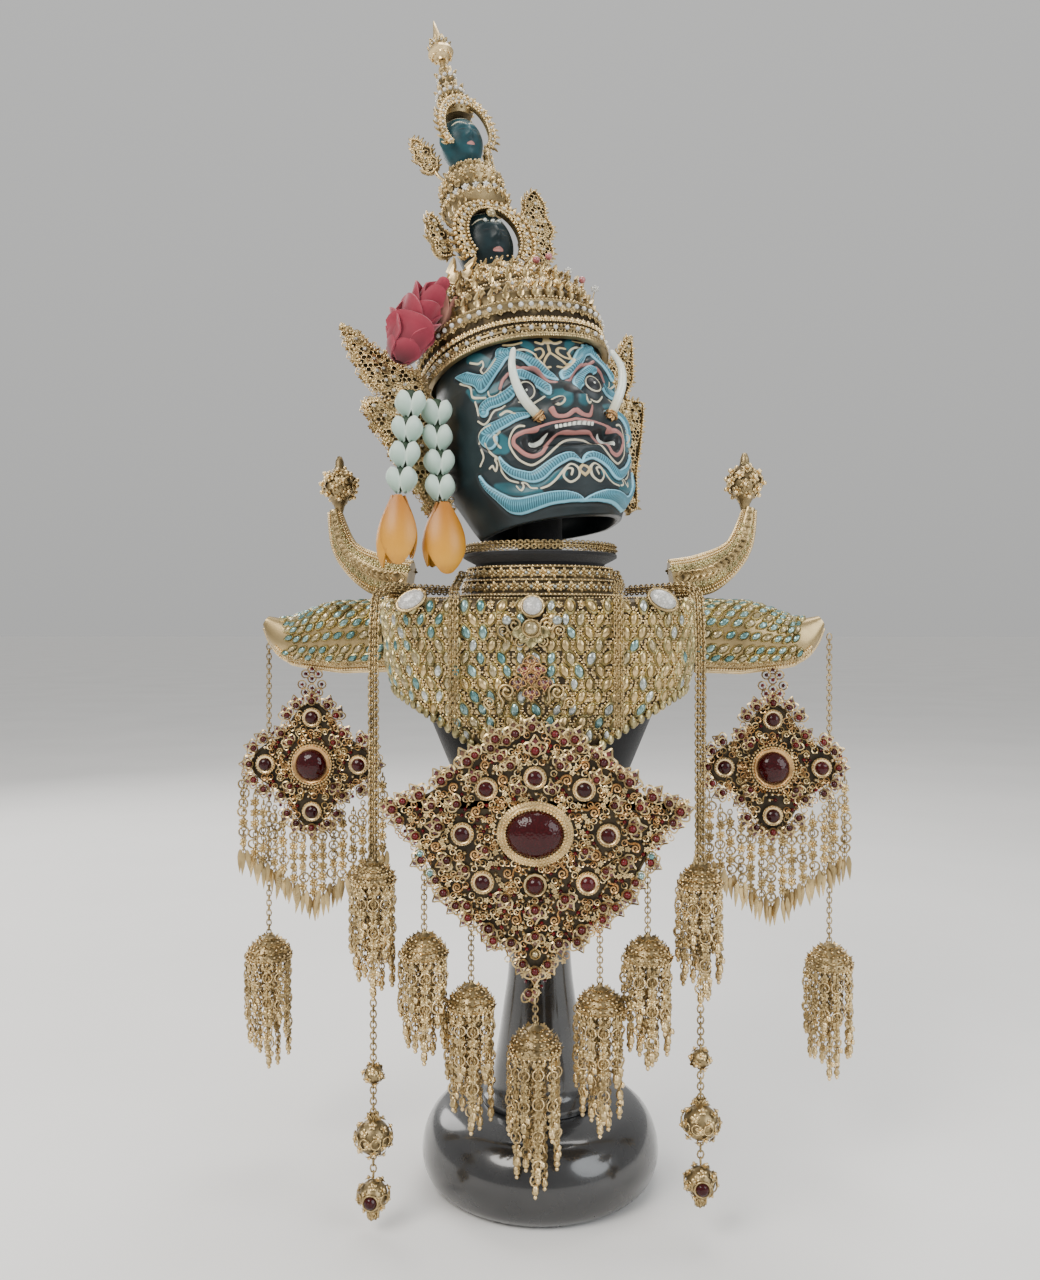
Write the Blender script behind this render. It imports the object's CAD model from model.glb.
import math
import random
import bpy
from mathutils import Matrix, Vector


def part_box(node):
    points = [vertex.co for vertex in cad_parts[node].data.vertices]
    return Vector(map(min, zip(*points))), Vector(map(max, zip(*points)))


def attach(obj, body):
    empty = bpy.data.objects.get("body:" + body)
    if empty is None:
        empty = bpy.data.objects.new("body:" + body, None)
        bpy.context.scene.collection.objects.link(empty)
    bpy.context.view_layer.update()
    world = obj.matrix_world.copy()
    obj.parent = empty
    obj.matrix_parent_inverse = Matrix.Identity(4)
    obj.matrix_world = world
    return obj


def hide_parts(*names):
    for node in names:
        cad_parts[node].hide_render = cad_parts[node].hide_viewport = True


bl_info = {
    "name": "Khon mask on its stand",
    "version": (1, 0, 0),
    "blender": (4, 5, 0),
    "location": "View3D > Sidebar > Khon Mask",
    "description": "Dresses the khon mask and its stand with paint, gilding, beads and stones",
    "category": "Object",
}

import bmesh
import bpy
import numpy as np
from mathutils import Euler, Matrix, Vector

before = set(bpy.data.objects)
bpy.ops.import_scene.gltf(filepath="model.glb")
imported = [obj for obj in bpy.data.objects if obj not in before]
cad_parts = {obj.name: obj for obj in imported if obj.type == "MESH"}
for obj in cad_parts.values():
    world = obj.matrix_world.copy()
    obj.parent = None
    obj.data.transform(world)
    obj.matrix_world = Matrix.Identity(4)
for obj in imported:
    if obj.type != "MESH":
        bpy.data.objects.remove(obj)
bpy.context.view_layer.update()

# Sizes in millimetres, as in the part's source
MM = 0.001
COLLAR_TOP = 286.0
COLLAR_HALF_WIDTH, COLLAR_FRONT, COLLAR_BACK, COLLAR_OPENING = 76.0, 55.0, 46.0, 41.0
COLLAR_FRONT_DROP, COLLAR_BACK_DROP, COLLAR_SIDE_DROP = 94.0, 50.0, 44.0
MASK_HALF_WIDTH, MASK_HALF_DEPTH, MASK_BACK = 46.0, 45.0, 0.8
MASK_CHIN, CHIN_TILT, DOME_TOP = -47.0, 4.0, 59.0
PLAN_POWER = 2.35
RIM_BASE, CROWN_TOP = 34.5, 89.0
PENDANT_HALF_WIDTH, PENDANT_Z, PENDANT_RISE, PENDANT_DROP = 70.0, 181.0, 50.0, 72.0
SIDE_X, SIDE_Z, SIDE_R = 114.5, 203.0, 36.5
CHAIN_Y, INNER_CHAIN_X, OUTER_CHAIN_X = -58.2, 37.0, 73.0
END_CHAIN_X, END_CHAIN_Y = {-1: -138.4, 1: 143.5}, 3.5  # the fine chain by side, left first
SIDES = ((-1, "left"), (1, "right"))

# The photograph's camera, in pixels of the photograph
PHOTO_HEIGHT, PHOTO_FOCAL, PHOTO_HORIZON = 1280, 1074, 627

MASK = (
    Matrix.Translation((-5.6, 0, 363))
    @ Matrix.Rotation(math.radians(-11), 4, "X")
    @ Matrix.Rotation(math.radians(-12.5), 4, "Y")
    @ Matrix.Rotation(math.radians(28.5), 4, "Z")
)
WORLD = Matrix.Identity(4)
sin, cos, pi = math.sin, math.cos, math.pi
GOLDEN_ANGLE = 2.39996


def lerp(a, b, t):
    return a + (b - a) * t


def smooth(x, a, b):
    t = np.clip((x - a) / (b - a), 0, 1)
    return t * t * (3 - 2 * t)


def signed_power(value, power):
    return math.copysign(abs(value) ** power, value)


def full_turn(count, phase=0.0):
    """Equal angles round a full turn."""
    return [2 * pi * (i + phase) / count for i in range(count)]


def dimmed(colour, share):
    return tuple(c * share for c in colour)


# Node trees


def add(tree, kind, inputs=None, **settings):
    node = tree.nodes.new(kind)
    for key, value in settings.items():
        setattr(node, key, value)
    for key, value in (inputs or {}).items():
        socket = node.inputs[key]
        value = value.outputs[0] if isinstance(value, bpy.types.Node) else value
        if isinstance(value, bpy.types.NodeSocket):
            tree.links.new(value, socket)
        else:
            socket.default_value = value
    return node


def maths(tree, operation, a, b=0.0, clamp=False):
    return add(tree, "ShaderNodeMath", {0: a, 1: b}, operation=operation, use_clamp=clamp).outputs[0]


def scaled(tree, vector, factor):
    return add(tree, "ShaderNodeVectorMath", {0: vector, "Scale": factor}, operation="SCALE").outputs[0]


def combined(tree, x, y, z):
    return add(tree, "ShaderNodeCombineXYZ", {0: x, 1: y, 2: z})


GEOMETRY, NUMBER, WHOLE, COLOUR, MATERIAL, OBJECT = (
    "NodeSocket" + kind for kind in ("Geometry", "Float", "Int", "Color", "Material", "Object")
)


def new_tree(name, kind, inputs, outputs):
    """An empty node group, with its input sockets to read and its output sockets to link."""
    tree = bpy.data.node_groups.new(name, kind)
    for label, socket_type, default in inputs:
        socket = tree.interface.new_socket(label, in_out="INPUT", socket_type=socket_type)
        if default is not None:
            socket.default_value = default
    for label, socket_type in outputs:
        tree.interface.new_socket(label, in_out="OUTPUT", socket_type=socket_type)
    return tree, add(tree, "NodeGroupInput").outputs, add(tree, "NodeGroupOutput").inputs


def link_result(tree, geometry, material, out):
    real = add(tree, "GeometryNodeRealizeInstances", {0: geometry})
    shaded = add(tree, "GeometryNodeSetShadeSmooth", {0: real, "Shade Smooth": True})
    done = add(tree, "GeometryNodeSetMaterial", {0: shaded, "Material": material})
    tree.links.new(done.outputs[0], out)


def ornament_tree():
    """Sets one small shape on every point, turned and sized by the point's own attributes."""
    inputs = [
        ("Geometry", GEOMETRY, None),
        ("Shape", OBJECT, None),
        ("Size", NUMBER, 1.0),
        ("Tilt", NUMBER, 0.0),
        ("Seed", WHOLE, 1),
        ("Material", MATERIAL, None),
    ]
    tree, given, out = new_tree("Ornaments on points", "GeometryNodeTree", inputs, [("Geometry", GEOMETRY)])
    tilt, seed = given["Tilt"], given["Seed"]
    shape = add(tree, "GeometryNodeObjectInfo", {"Object": given["Shape"], "As Instance": True})
    turn, size = (
        add(tree, "GeometryNodeInputNamedAttribute", {"Name": name}, data_type="FLOAT_VECTOR")
        for name in ("turn", "size")
    )
    facing = add(tree, "FunctionNodeEulerToRotation", {0: turn})
    less = maths(tree, "MULTIPLY", tilt, -1.0)
    spread = {0: combined(tree, less, less, less), 1: combined(tree, tilt, tilt, tilt), "Seed": seed}
    chance = add(tree, "FunctionNodeRandomValue", spread, data_type="FLOAT_VECTOR")
    nudge = add(tree, "FunctionNodeEulerToRotation", {0: chance})
    turned_by = add(tree, "FunctionNodeRotateRotation", {0: facing, 1: nudge}, rotation_space="LOCAL")
    placing = {
        "Points": given["Geometry"],
        "Instance": shape.outputs["Geometry"],
        "Rotation": turned_by,
        "Scale": scaled(tree, size, given["Size"]),
    }
    placed = add(tree, "GeometryNodeInstanceOnPoints", placing)
    tone = add(tree, "FunctionNodeRandomValue", {"Seed": seed}, data_type="FLOAT")
    toned = add(
        tree,
        "GeometryNodeStoreNamedAttribute",
        {0: placed, "Name": "tone", "Value": tone.outputs[1]},
        data_type="FLOAT",
        domain="INSTANCE",
    )
    link_result(tree, toned, given["Material"], out[0])
    return tree


def chain_tree():
    """Hangs oval links along every line, each a quarter turn from the one before."""
    inputs = [
        ("Geometry", GEOMETRY, None),
        ("Link Length", NUMBER, 0.003),
        ("Link Width", NUMBER, 0.002),
        ("Wire", NUMBER, 0.0003),
        ("Material", MATERIAL, None),
    ]
    tree, given, out = new_tree("Chain along lines", "GeometryNodeTree", inputs, [("Geometry", GEOMETRY)])
    length, width, thickness = given["Link Length"], given["Link Width"], given["Wire"]
    line = add(tree, "GeometryNodeMeshToCurve", {0: given["Geometry"]})
    step = add(tree, "ShaderNodeMath", {0: thickness, 1: -2.6, 2: length}, operation="MULTIPLY_ADD")
    points = add(tree, "GeometryNodeCurveToPoints", {0: line, "Length": step}, mode="LENGTH")
    round_loop, wire = (
        add(tree, "GeometryNodeCurvePrimitiveCircle", {"Resolution": n, "Radius": r}, mode="RADIUS")
        for n, r in ((8, 0.5), (3, thickness))
    )
    upright = add(tree, "GeometryNodeTransform", {0: round_loop, "Rotation": Euler((pi / 2, 0, 0))})
    oval = add(tree, "GeometryNodeTransform", {0: upright, "Scale": combined(tree, width, 1.0, length)})
    link = add(tree, "GeometryNodeCurveToMesh", {0: oval, 1: wire})
    odd = maths(tree, "MODULO", add(tree, "GeometryNodeInputIndex"), 2.0)
    angles = combined(tree, 0.0, 0.0, maths(tree, "MULTIPLY", odd, pi / 2))
    rolled = {0: points.outputs["Rotation"], 1: add(tree, "FunctionNodeEulerToRotation", {0: angles})}
    turn = add(tree, "FunctionNodeRotateRotation", rolled, rotation_space="LOCAL")
    placed = add(
        tree, "GeometryNodeInstanceOnPoints", {"Points": points, "Instance": link, "Rotation": turn}
    )
    link_result(tree, placed, given["Material"], out[0])
    return tree


def turned_tree():
    """Turns a profile, given as a row of points in the XZ plane, about the Z axis."""
    inputs = [
        ("Geometry", GEOMETRY, None),
        ("Sides", WHOLE, 48),
        ("Rings", WHOLE, 8),
        ("Material", MATERIAL, None),
    ]
    tree, given, out = new_tree("Turned on the lathe", "GeometryNodeTree", inputs, [("Geometry", GEOMETRY)])
    across = maths(tree, "ADD", given["Sides"], 1.0)
    counts = {"Size X": 1.0, "Size Y": 1.0, "Vertices X": across, "Vertices Y": given["Rings"]}
    grid = add(tree, "GeometryNodeMeshGrid", counts)
    spot = add(tree, "GeometryNodeInputPosition")
    parts = add(tree, "ShaderNodeSeparateXYZ", {0: spot})
    share = maths(tree, "ADD", parts.outputs[1], 0.5)
    row = maths(tree, "ROUND", maths(tree, "MULTIPLY", share, maths(tree, "SUBTRACT", given["Rings"], 1.0)))
    sampling = {"Geometry": given["Geometry"], "Value": spot, "Index": row}
    sample = add(tree, "GeometryNodeSampleIndex", sampling, data_type="FLOAT_VECTOR", domain="POINT")
    turning = {"Vector": sample, "Angle": maths(tree, "MULTIPLY", parts.outputs[0], 2 * pi)}
    turned_spot = add(tree, "ShaderNodeVectorRotate", turning, rotation_type="Z_AXIS")
    moved = add(tree, "GeometryNodeSetPosition", {0: grid.outputs["Mesh"], "Position": turned_spot})
    closed = add(tree, "GeometryNodeMergeByDistance", {0: moved, "Distance": 1e-6})
    link_result(tree, closed, given["Material"], out[0])
    return tree


TREES = {}
SHAPES = {}


def evaluated(obj, kind, material, **values):
    """Runs one of the trees on an object and leaves the result as its plain mesh."""
    modifier = obj.modifiers.new(kind, "NODES")
    modifier.node_group = TREES[kind]
    values["Material"] = bpy.data.materials[material]
    for item in TREES[kind].interface.items_tree:
        if item.in_out == "INPUT" and item.name in values:
            modifier[item.identifier] = values[item.name]
    obj.update_tag()
    depsgraph = bpy.context.evaluated_depsgraph_get()
    mesh = bpy.data.meshes.new_from_object(obj.evaluated_get(depsgraph))
    old = obj.data
    obj.modifiers.clear()
    obj.data = mesh
    mesh.name = obj.name
    bpy.data.meshes.remove(old)
    return obj


# Pieces


def outward(mesh, weld=True):
    """Turns all faces outwards; weld joins points that lie together first."""
    bm = bmesh.new()
    bm.from_mesh(mesh)
    if weld:
        bmesh.ops.remove_doubles(bm, verts=bm.verts, dist=1e-7)
    bmesh.ops.recalc_face_normals(bm, faces=bm.faces)
    bm.to_mesh(mesh)
    bm.free()


def new_object(name, verts, faces, edges=(), place=WORLD, scale=MM):
    mesh = bpy.data.meshes.new(name)
    mesh.from_pydata([tuple((place @ Vector(v)) * scale) for v in verts], list(edges), list(faces))
    obj = bpy.data.objects.new(name, mesh)
    bpy.context.scene.collection.objects.link(obj)
    return obj


def settle(obj, slot, nodes, material=None, sharp=None):
    """A finished piece rides on the one body and stands for its CAD nodes."""
    if material:
        obj.data.materials.clear()
        obj.data.materials.append(bpy.data.materials[material])
    if not obj.data.polygons:
        raise RuntimeError(obj.name + " came out empty")
    obj.data.shade_smooth()
    if sharp:
        obj.data.set_sharp_from_angle(angle=math.radians(sharp))
    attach(obj, "root")
    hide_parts(*nodes)
    return obj


def grid_faces(rows, columns, around=True):
    faces = []
    for r in range(rows - 1):
        for c in range(columns if around else columns - 1):
            d = (c + 1) % columns
            faces.append((r * columns + c, r * columns + d, (r + 1) * columns + d, (r + 1) * columns + c))
    return faces


def rings_mesh(rings, capped=True, looped=False):
    """Joins rings of equal length, in order, and closes both ends."""
    n = len(rings[0])
    verts = [p for ring in rings for p in ring]
    faces = grid_faces(len(rings), n)
    if looped:
        last = (len(rings) - 1) * n
        faces += [(last + c, last + (c + 1) % n, (c + 1) % n, c) for c in range(n)]
    elif capped:
        faces += [tuple(range(n))[::-1], tuple(range((len(rings) - 1) * n, len(rings) * n))]
    return verts, faces


def curve_points(points, steps, closed=False):
    """A smooth line through the points, as a list of vectors."""
    pts = [Vector(p) for p in points]
    n = len(pts)
    spans = n if closed else n - 1
    out = []
    for i in range(spans):
        a, b, c, d = (
            pts[(i + k) % n] if closed else pts[min(max(i + k, 0), n - 1)] for k in (-1, 0, 1, 2)
        )
        for s in range(steps):
            t = s / steps
            out.append(
                0.5
                * (2 * b + (c - a) * t + (2 * a - 5 * b + 4 * c - d) * t * t + (3 * b - a - 3 * c + d) * t**3)
            )
    if not closed:
        out.append(pts[-1])
    return out


def tube_mesh(path, radii, sides=8, closed=False):
    rings = []
    n = len(path)
    side = None
    for i, p in enumerate(path):
        ahead = path[(i + 1) % n] if closed or i < n - 1 else p
        behind = path[i - 1] if closed or i else p
        along = (ahead - behind).normalized()
        if side is None:
            side = along.orthogonal().normalized()
        side = (side - along * side.dot(along)).normalized()
        other = along.cross(side)
        r = radii if isinstance(radii, (int, float)) else radii[i]
        rings.append([p + side * (r * cos(a)) + other * (r * sin(a)) for a in full_turn(sides)])
    return rings_mesh(rings, looped=closed)


def joined(parts):
    verts, faces = [], []
    for v, f in parts:
        start = len(verts)
        verts += list(v)
        faces += [tuple(i + start for i in face) for face in f]
    return verts, faces


def turned(name, profile, material, slot, nodes, sides=48, place=WORLD, sharp=40, at=(0, 0, 0)):
    points = [(r, 0, z) for r, z in profile]
    edges = [(i, i + 1) for i in range(len(points) - 1)]
    obj = new_object(name, points, [], edges)
    evaluated(obj, "turned", material, Sides=sides, Rings=len(points))
    move = Matrix.Translation(Vector(at) * MM)
    frame_of = Matrix.Translation(place.translation * MM) @ place.to_3x3().to_4x4()
    obj.data.transform(frame_of @ move)
    outward(obj.data)
    return settle(obj, slot, nodes, sharp=sharp)


class Spots:
    """Collects the places of one kind of small ornament: position, facing, up and size in millimetres."""

    def __init__(self, place=WORLD):
        self.place = place
        self.rows = []

    def add(self, at, normal, up=(0, 0, 1), size=1.0):
        z = Vector(normal).normalized()
        y = Vector(up) - z * Vector(up).dot(z)
        y = y.normalized() if y.length > 1e-6 else z.orthogonal().normalized()
        x = y.cross(z)
        turn = Matrix((x, y, z)).transposed()
        where = self.place @ Vector(at)
        angles = (self.place.to_3x3() @ turn).to_euler()
        sizes = size if isinstance(size, (tuple, list)) else (size, size, size)
        self.rows.append((where * MM, angles, sizes))

    def build(self, name, shape, material, slot, nodes=(), tilt=0.0, seed=1, sharp=None):
        obj = new_object(name, [], [])
        mesh = obj.data
        mesh.vertices.add(len(self.rows))
        mesh.vertices.foreach_set("co", [c for row in self.rows for c in row[0]])
        for column, label in ((1, "turn"), (2, "size")):
            layer = mesh.attributes.new(label, "FLOAT_VECTOR", "POINT")
            layer.data.foreach_set("vector", [c for row in self.rows for c in row[column]])
        evaluated(obj, "ornaments", material, Shape=SHAPES[shape], Size=MM, Tilt=tilt, Seed=seed)
        return settle(obj, slot, nodes, sharp=sharp)


def spot_sets(count, place=WORLD):
    return [Spots(place) for _ in range(count)]


def hang_chain(name, lines, length, width, wire, nodes=(), slot="gilt_brass"):
    verts, edges = [], []
    for line in lines:
        start = len(verts)
        verts += [tuple(p) for p in line]
        edges += [(start + i, start + i + 1) for i in range(len(line) - 1)]
    obj = new_object(name, verts, [], edges)
    sizes = {"Link Length": length * MM, "Link Width": width * MM, "Wire": wire * MM}
    evaluated(obj, "chain", "Aged gold", **sizes)
    return settle(obj, slot, nodes)


# Small shapes, one unit in size


def shape_object(name, verts, faces):
    obj = new_object("shape_" + name, verts, faces, scale=1.0)
    outward(obj.data)
    return obj


def ellipse_ring(a, b, z, n):
    return [(a * cos(2 * pi * i / n), b * sin(2 * pi * i / n), z) for i in range(n)]


def lathed(profile, n, squash=1.0):
    """A closed round shape from radii and heights, from the bottom up."""
    return rings_mesh([ellipse_ring(r, r * squash, z, n) for r, z in profile])


def domed_plate(low, high, middle):
    """A plate between two outlines, whose upper face rises to one point."""
    n = len(low)
    faces = [tuple(range(n))[::-1]]
    faces += [(i, (i + 1) % n, n + (i + 1) % n, n + i) for i in range(n)]
    faces += [(n + i, n + (i + 1) % n, 2 * n) for i in range(n)]
    return low + high + [middle], faces


def bead(wide, high):
    turns = [pi * (i + 0.5) / high for i in range(high)]
    return lathed([(sin(a), -cos(a)) for a in turns], wide)


def loop(sides=12, wire=0.16, square=4):
    path = [Vector((cos(2 * pi * i / sides), sin(2 * pi * i / sides), 0)) for i in range(sides)]
    return tube_mesh(path, wire, square, closed=True)


def marquise(profile, n=10):
    """A closed shape with pointed ends, from half lengths and heights."""
    rings = [
        [(0.52 * r * cos(a), r * signed_power(sin(a), 1.5), z) for a in full_turn(n)] for r, z in profile
    ]
    return rings_mesh(rings)


def scale_shape():
    return marquise([(1, -0.2), (1, 0.18), (0.8, 0.34), (0.6, 0.14)])


def marquise_stone():
    return marquise([(0.66, 0.0), (0.6, 0.3), (0.3, 0.45)])


def cabochon_shape():
    return lathed([(1, -0.1), (0.96, 0.22), (0.74, 0.52), (0.36, 0.7)], 14)


def petal_outline(n):
    """A pointed petal that stands on its root at the origin and ends at y = 1."""
    out = []
    for i in range(n):
        t = i / n
        out.append((0.42 * (sin(pi * min(1, t * 1.02)) ** 0.8 if t < 0.5 else 1 - (2 * t - 1) ** 1.6), t))
    return out


def petal(cup=0.25, n=4):
    """A cupped petal with a raised edge."""
    right = petal_outline(n)
    rows = []
    for x, y in right + [(0.0, 1.0)]:
        x = max(x, 0.02)
        lift = cup * y * y
        rows.append([
            (-x, y, lift + 0.1), (-x * 0.7, y, lift), (0, y, lift + 0.03), (x * 0.7, y, lift),
            (x, y, lift + 0.1),
        ])
    top = [p for row in rows for p in row]
    base = [(x * 0.98, y, z - 0.14) for x, y, z in top]
    faces = grid_faces(len(rows), 5, around=False)
    back = [tuple(i + len(top) for i in face[::-1]) for face in faces]
    count = len(rows)
    rim = [r * 5 for r in range(count)] + [(count - 1) * 5 + c for c in range(1, 5)]
    rim += [r * 5 + 4 for r in range(count - 2, -1, -1)] + [3, 2, 1]
    edge = [(a, b, b + len(top), a + len(top)) for a, b in zip(rim, rim[1:] + rim[:1])]
    return top + base, faces + back + edge


# The outline of a plain petal of few faces, from its root at the origin to its tip at y = 1
PETAL = [(0, 0), (0.34, 0.42), (0.26, 0.78), (0, 1), (-0.26, 0.78), (-0.34, 0.42)]


def flat_petal(cup=0.12):
    """A plain petal, for enamel and rows of hundreds."""
    low = [(x, y, -0.08) for x, y in PETAL]
    high = [(x * 0.9, y * 0.95 + 0.02, 0.08) for x, y in PETAL]
    return domed_plate(low, high, (0, 0.5, 0.08 + cup))


def low_petal(cup):
    """The plainest closed petal: a flat back and a raised middle."""
    verts = [(x, y, 0) for x, y in PETAL] + [(0, 0.5, 0.1 + cup)]
    return verts, [tuple(range(6))[::-1]] + [(i, (i + 1) % 6, 6) for i in range(6)]


def rosette(count=6, cup=0.2, one=flat_petal):
    parts = []
    for angle in full_turn(count):
        turn = Matrix.Rotation(angle, 3, "Z")
        verts, faces = one(cup)
        parts.append(([turn @ Vector(v) for v in verts], faces))
    middle, faces = bead(5, 3)
    parts.append(([(x * 0.26, y * 0.26, z * 0.26 + 0.14) for x, y, z in middle], faces))
    return joined(parts)


def bud_wire():
    """The gold frame of a flower setting: a bezel with three pointed petals in wire."""
    verts, faces = loop(10, 0.2, 4)
    parts = [([Vector((x * 0.42, y * 0.42, z * 0.6 + 0.12)) for x, y, z in verts], faces)]
    for angle, reach in ((0, 1.12), (62, 0.92), (-62, 0.92)):
        line = [
            (-0.26, 0.1, 0), (-0.4, 0.5, 0.02), (-0.16, 0.85, 0), (0, reach, 0), (0.16, 0.85, 0),
            (0.4, 0.5, 0.02), (0.26, 0.1, 0),
        ]
        verts, faces = tube_mesh(curve_points(line, 2), 0.09, 3)
        turn = Matrix.Rotation(math.radians(angle), 3, "Z")
        parts.append(([turn @ Vector(v) for v in verts], faces))
    return joined(parts)


def bud_fill():
    """The coloured petals inside a flower setting."""
    parts = []
    for angle, reach in ((0, 0.98), (62, 0.8), (-62, 0.8)):
        turn = Matrix.Rotation(math.radians(angle), 3, "Z")
        verts, faces = flat_petal(0.05)
        parts.append(([turn @ Vector((x * 0.9, y * reach, z * 0.4)) for x, y, z in verts], faces))
    return joined(parts)


def spiral():
    """A curl of wire with a bent tail."""
    line = []
    for i in range(22):
        r, a = lerp(0.12, 0.62, i / 21), 2 * pi * 1.6 * (i / 21)
        line.append(Vector((r * cos(a), r * sin(a), 0)))
    end = line[-1]
    line += [end + Vector((0.12, -0.3, 0)), end + Vector((-0.05, -0.75, 0))]
    return tube_mesh(line, 0.11, 4)


def flame():
    """A small flame leaf with a bent tip and a raised rim."""
    outline = [
        (0, -0.1), (0.24, 0.1), (0.3, 0.42), (0.12, 0.5), (0.26, 0.74), (0.32, 1.1), (0.02, 0.86),
        (-0.2, 0.6), (-0.1, 0.5), (-0.26, 0.34), (-0.22, 0.08),
    ]
    low = [(x, y, -0.1) for x, y in outline]
    high = [(x, y, 0.12) for x, y in outline]
    inner = [(x * 0.62, lerp(0.42, y, 0.66), 0.03) for x, y in outline]
    n = len(outline)
    faces = [tuple(range(n))[::-1], tuple(range(2 * n, 3 * n))]
    for k in (0, n):
        faces += [(k + i, k + (i + 1) % n, k + n + (i + 1) % n, k + n + i) for i in range(n)]
    return low + high + inner, faces


def drop_shape():
    return lathed([(0.34, -0.7), (0.66, -0.3), (0.62, 0.1), (0.3, 0.62), (0.1, 1.0)], 8)


def leaf_drop():
    """A narrow bodhi leaf that hangs from its stalk, its tip at y = -1."""
    outline = [
        (0, 0.05), (0.16, -0.06), (0.24, -0.3), (0.16, -0.62), (0, -1), (-0.16, -0.62), (-0.24, -0.3),
        (-0.16, -0.06),
    ]
    low = [(x, y, -0.04) for x, y in outline]
    high = [(x * 0.92, y, 0.05) for x, y in outline]
    return domed_plate(low, high, (0, -0.35, 0.1))


def stud_shape():
    return lathed([(0.5, -0.2), (0.5, 0.3), (0.2, 0.6)], 6, 1.6)


def cup_shape():
    """The low round seat of a stone: a plate with a raised rim."""
    return lathed([(0.9, -0.12), (1.0, -0.02), (1.0, 0.14), (0.82, 0.16), (0.76, 0.04)], 16)


def oval_cup():
    """The seat of the large breast stone, in millimetres."""
    rings = [
        ellipse_ring(17 * r, 14.4 * r, 6 * z, 40)
        for r, z in ((0.95, -0.3), (1, -0.1), (1, 0.1), (0.86, 0.3))
    ]
    return rings_mesh(rings)


def fine_cabochon():
    turns = [pi / 2 * i / 9 for i in range(9)]
    return lathed([(1, -0.1)] + [(cos(a), sin(a) * 0.8) for a in turns], 48)


SHAPE_MAKERS = {
    "bead": lambda: bead(5, 3),
    "grain": lambda: bead(4, 2),
    "small_rosette": lambda: rosette(5, 0.15, low_petal),
    "bezel_cup": cup_shape,
    "oval_cup": oval_cup,
    "fine_cabochon": fine_cabochon,
    "pearl": lambda: bead(9, 6),
    "loop": loop,
    "fine_loop": lambda: loop(10, 0.22, 3),
    "scale": scale_shape,
    "marquise": marquise_stone,
    "cabochon": cabochon_shape,
    "petal": petal,
    "flat_petal": flat_petal,
    "rosette": rosette,
    "bud_wire": bud_wire,
    "bud_fill": bud_fill,
    "spiral": spiral,
    "flame": flame,
    "drop": drop_shape,
    "leaf_drop": leaf_drop,
    "stud": stud_shape,
}


# Finishes


def map_range(tree, value, low, high, to_low=0.0, to_high=1.0):
    node = add(
        tree,
        "ShaderNodeMapRange",
        {"Value": value, "From Min": low, "From Max": high, "To Min": to_low, "To Max": to_high},
    )
    return node.outputs[0]


def mixed(tree, factor, a, b):
    return add(tree, "ShaderNodeMix", {0: factor, 6: a, 7: b}, data_type="RGBA").outputs[2]


def noise(tree, scale, detail=3.0, rough=0.55):
    place = add(tree, "ShaderNodeTexCoord").outputs["Object"]
    node = add(
        tree, "ShaderNodeTexNoise", {"Vector": place, "Scale": scale, "Detail": detail, "Roughness": rough}
    )
    return node.outputs[0]


def attribute(tree, name):
    return add(tree, "ShaderNodeAttribute", attribute_name=name).outputs["Fac"]


def aged_metal():
    """Worn gilding: bright on edges, dark in hollows and in cloudy patches."""
    tree, given, out = new_tree(
        "Aged metal",
        "ShaderNodeTree",
        [
            ("Bright", COLOUR, (0.5, 0.36, 0.16, 1)),
            ("Dark", COLOUR, (0.06, 0.04, 0.015, 1)),
            ("Scale", NUMBER, 90.0),
            ("Wear", NUMBER, 0.4),
        ],
        [("Color", COLOUR), ("Roughness", NUMBER), ("Height", NUMBER)],
    )
    patches = map_range(tree, noise(tree, given["Scale"], 4.0), 0.38, 0.68)
    edge = add(tree, "ShaderNodeNewGeometry").outputs["Pointiness"]
    ridge = map_range(tree, edge, 0.44, 0.53)
    lost = maths(tree, "MULTIPLY", patches, given["Wear"])
    kept = maths(tree, "SUBTRACT", ridge, lost, True)
    tone = map_range(tree, attribute(tree, "tone"), 0.0, 1.0, 0.82, 1.12)
    share = maths(tree, "MULTIPLY", kept, tone, True)
    tree.links.new(mixed(tree, share, given["Dark"], given["Bright"]), out["Color"])
    tree.links.new(map_range(tree, share, 0.0, 1.0, 0.55, 0.24), out["Roughness"])
    fine = maths(tree, "MULTIPLY", given["Scale"], 14.0)
    tree.links.new(noise(tree, fine, 2.0), out["Height"])


def grain():
    """Fine grain for cloth, clay and felt: a mask for colour and a height."""
    tree, given, out = new_tree(
        "Fine grain",
        "ShaderNodeTree",
        [("Scale", NUMBER, 600.0), ("Patch", NUMBER, 40.0)],
        [("Mask", NUMBER), ("Height", NUMBER)],
    )
    tree.links.new(map_range(tree, noise(tree, given["Patch"], 4.0), 0.3, 0.7), out["Mask"])
    tree.links.new(noise(tree, given["Scale"], 2.0), out["Height"])


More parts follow.
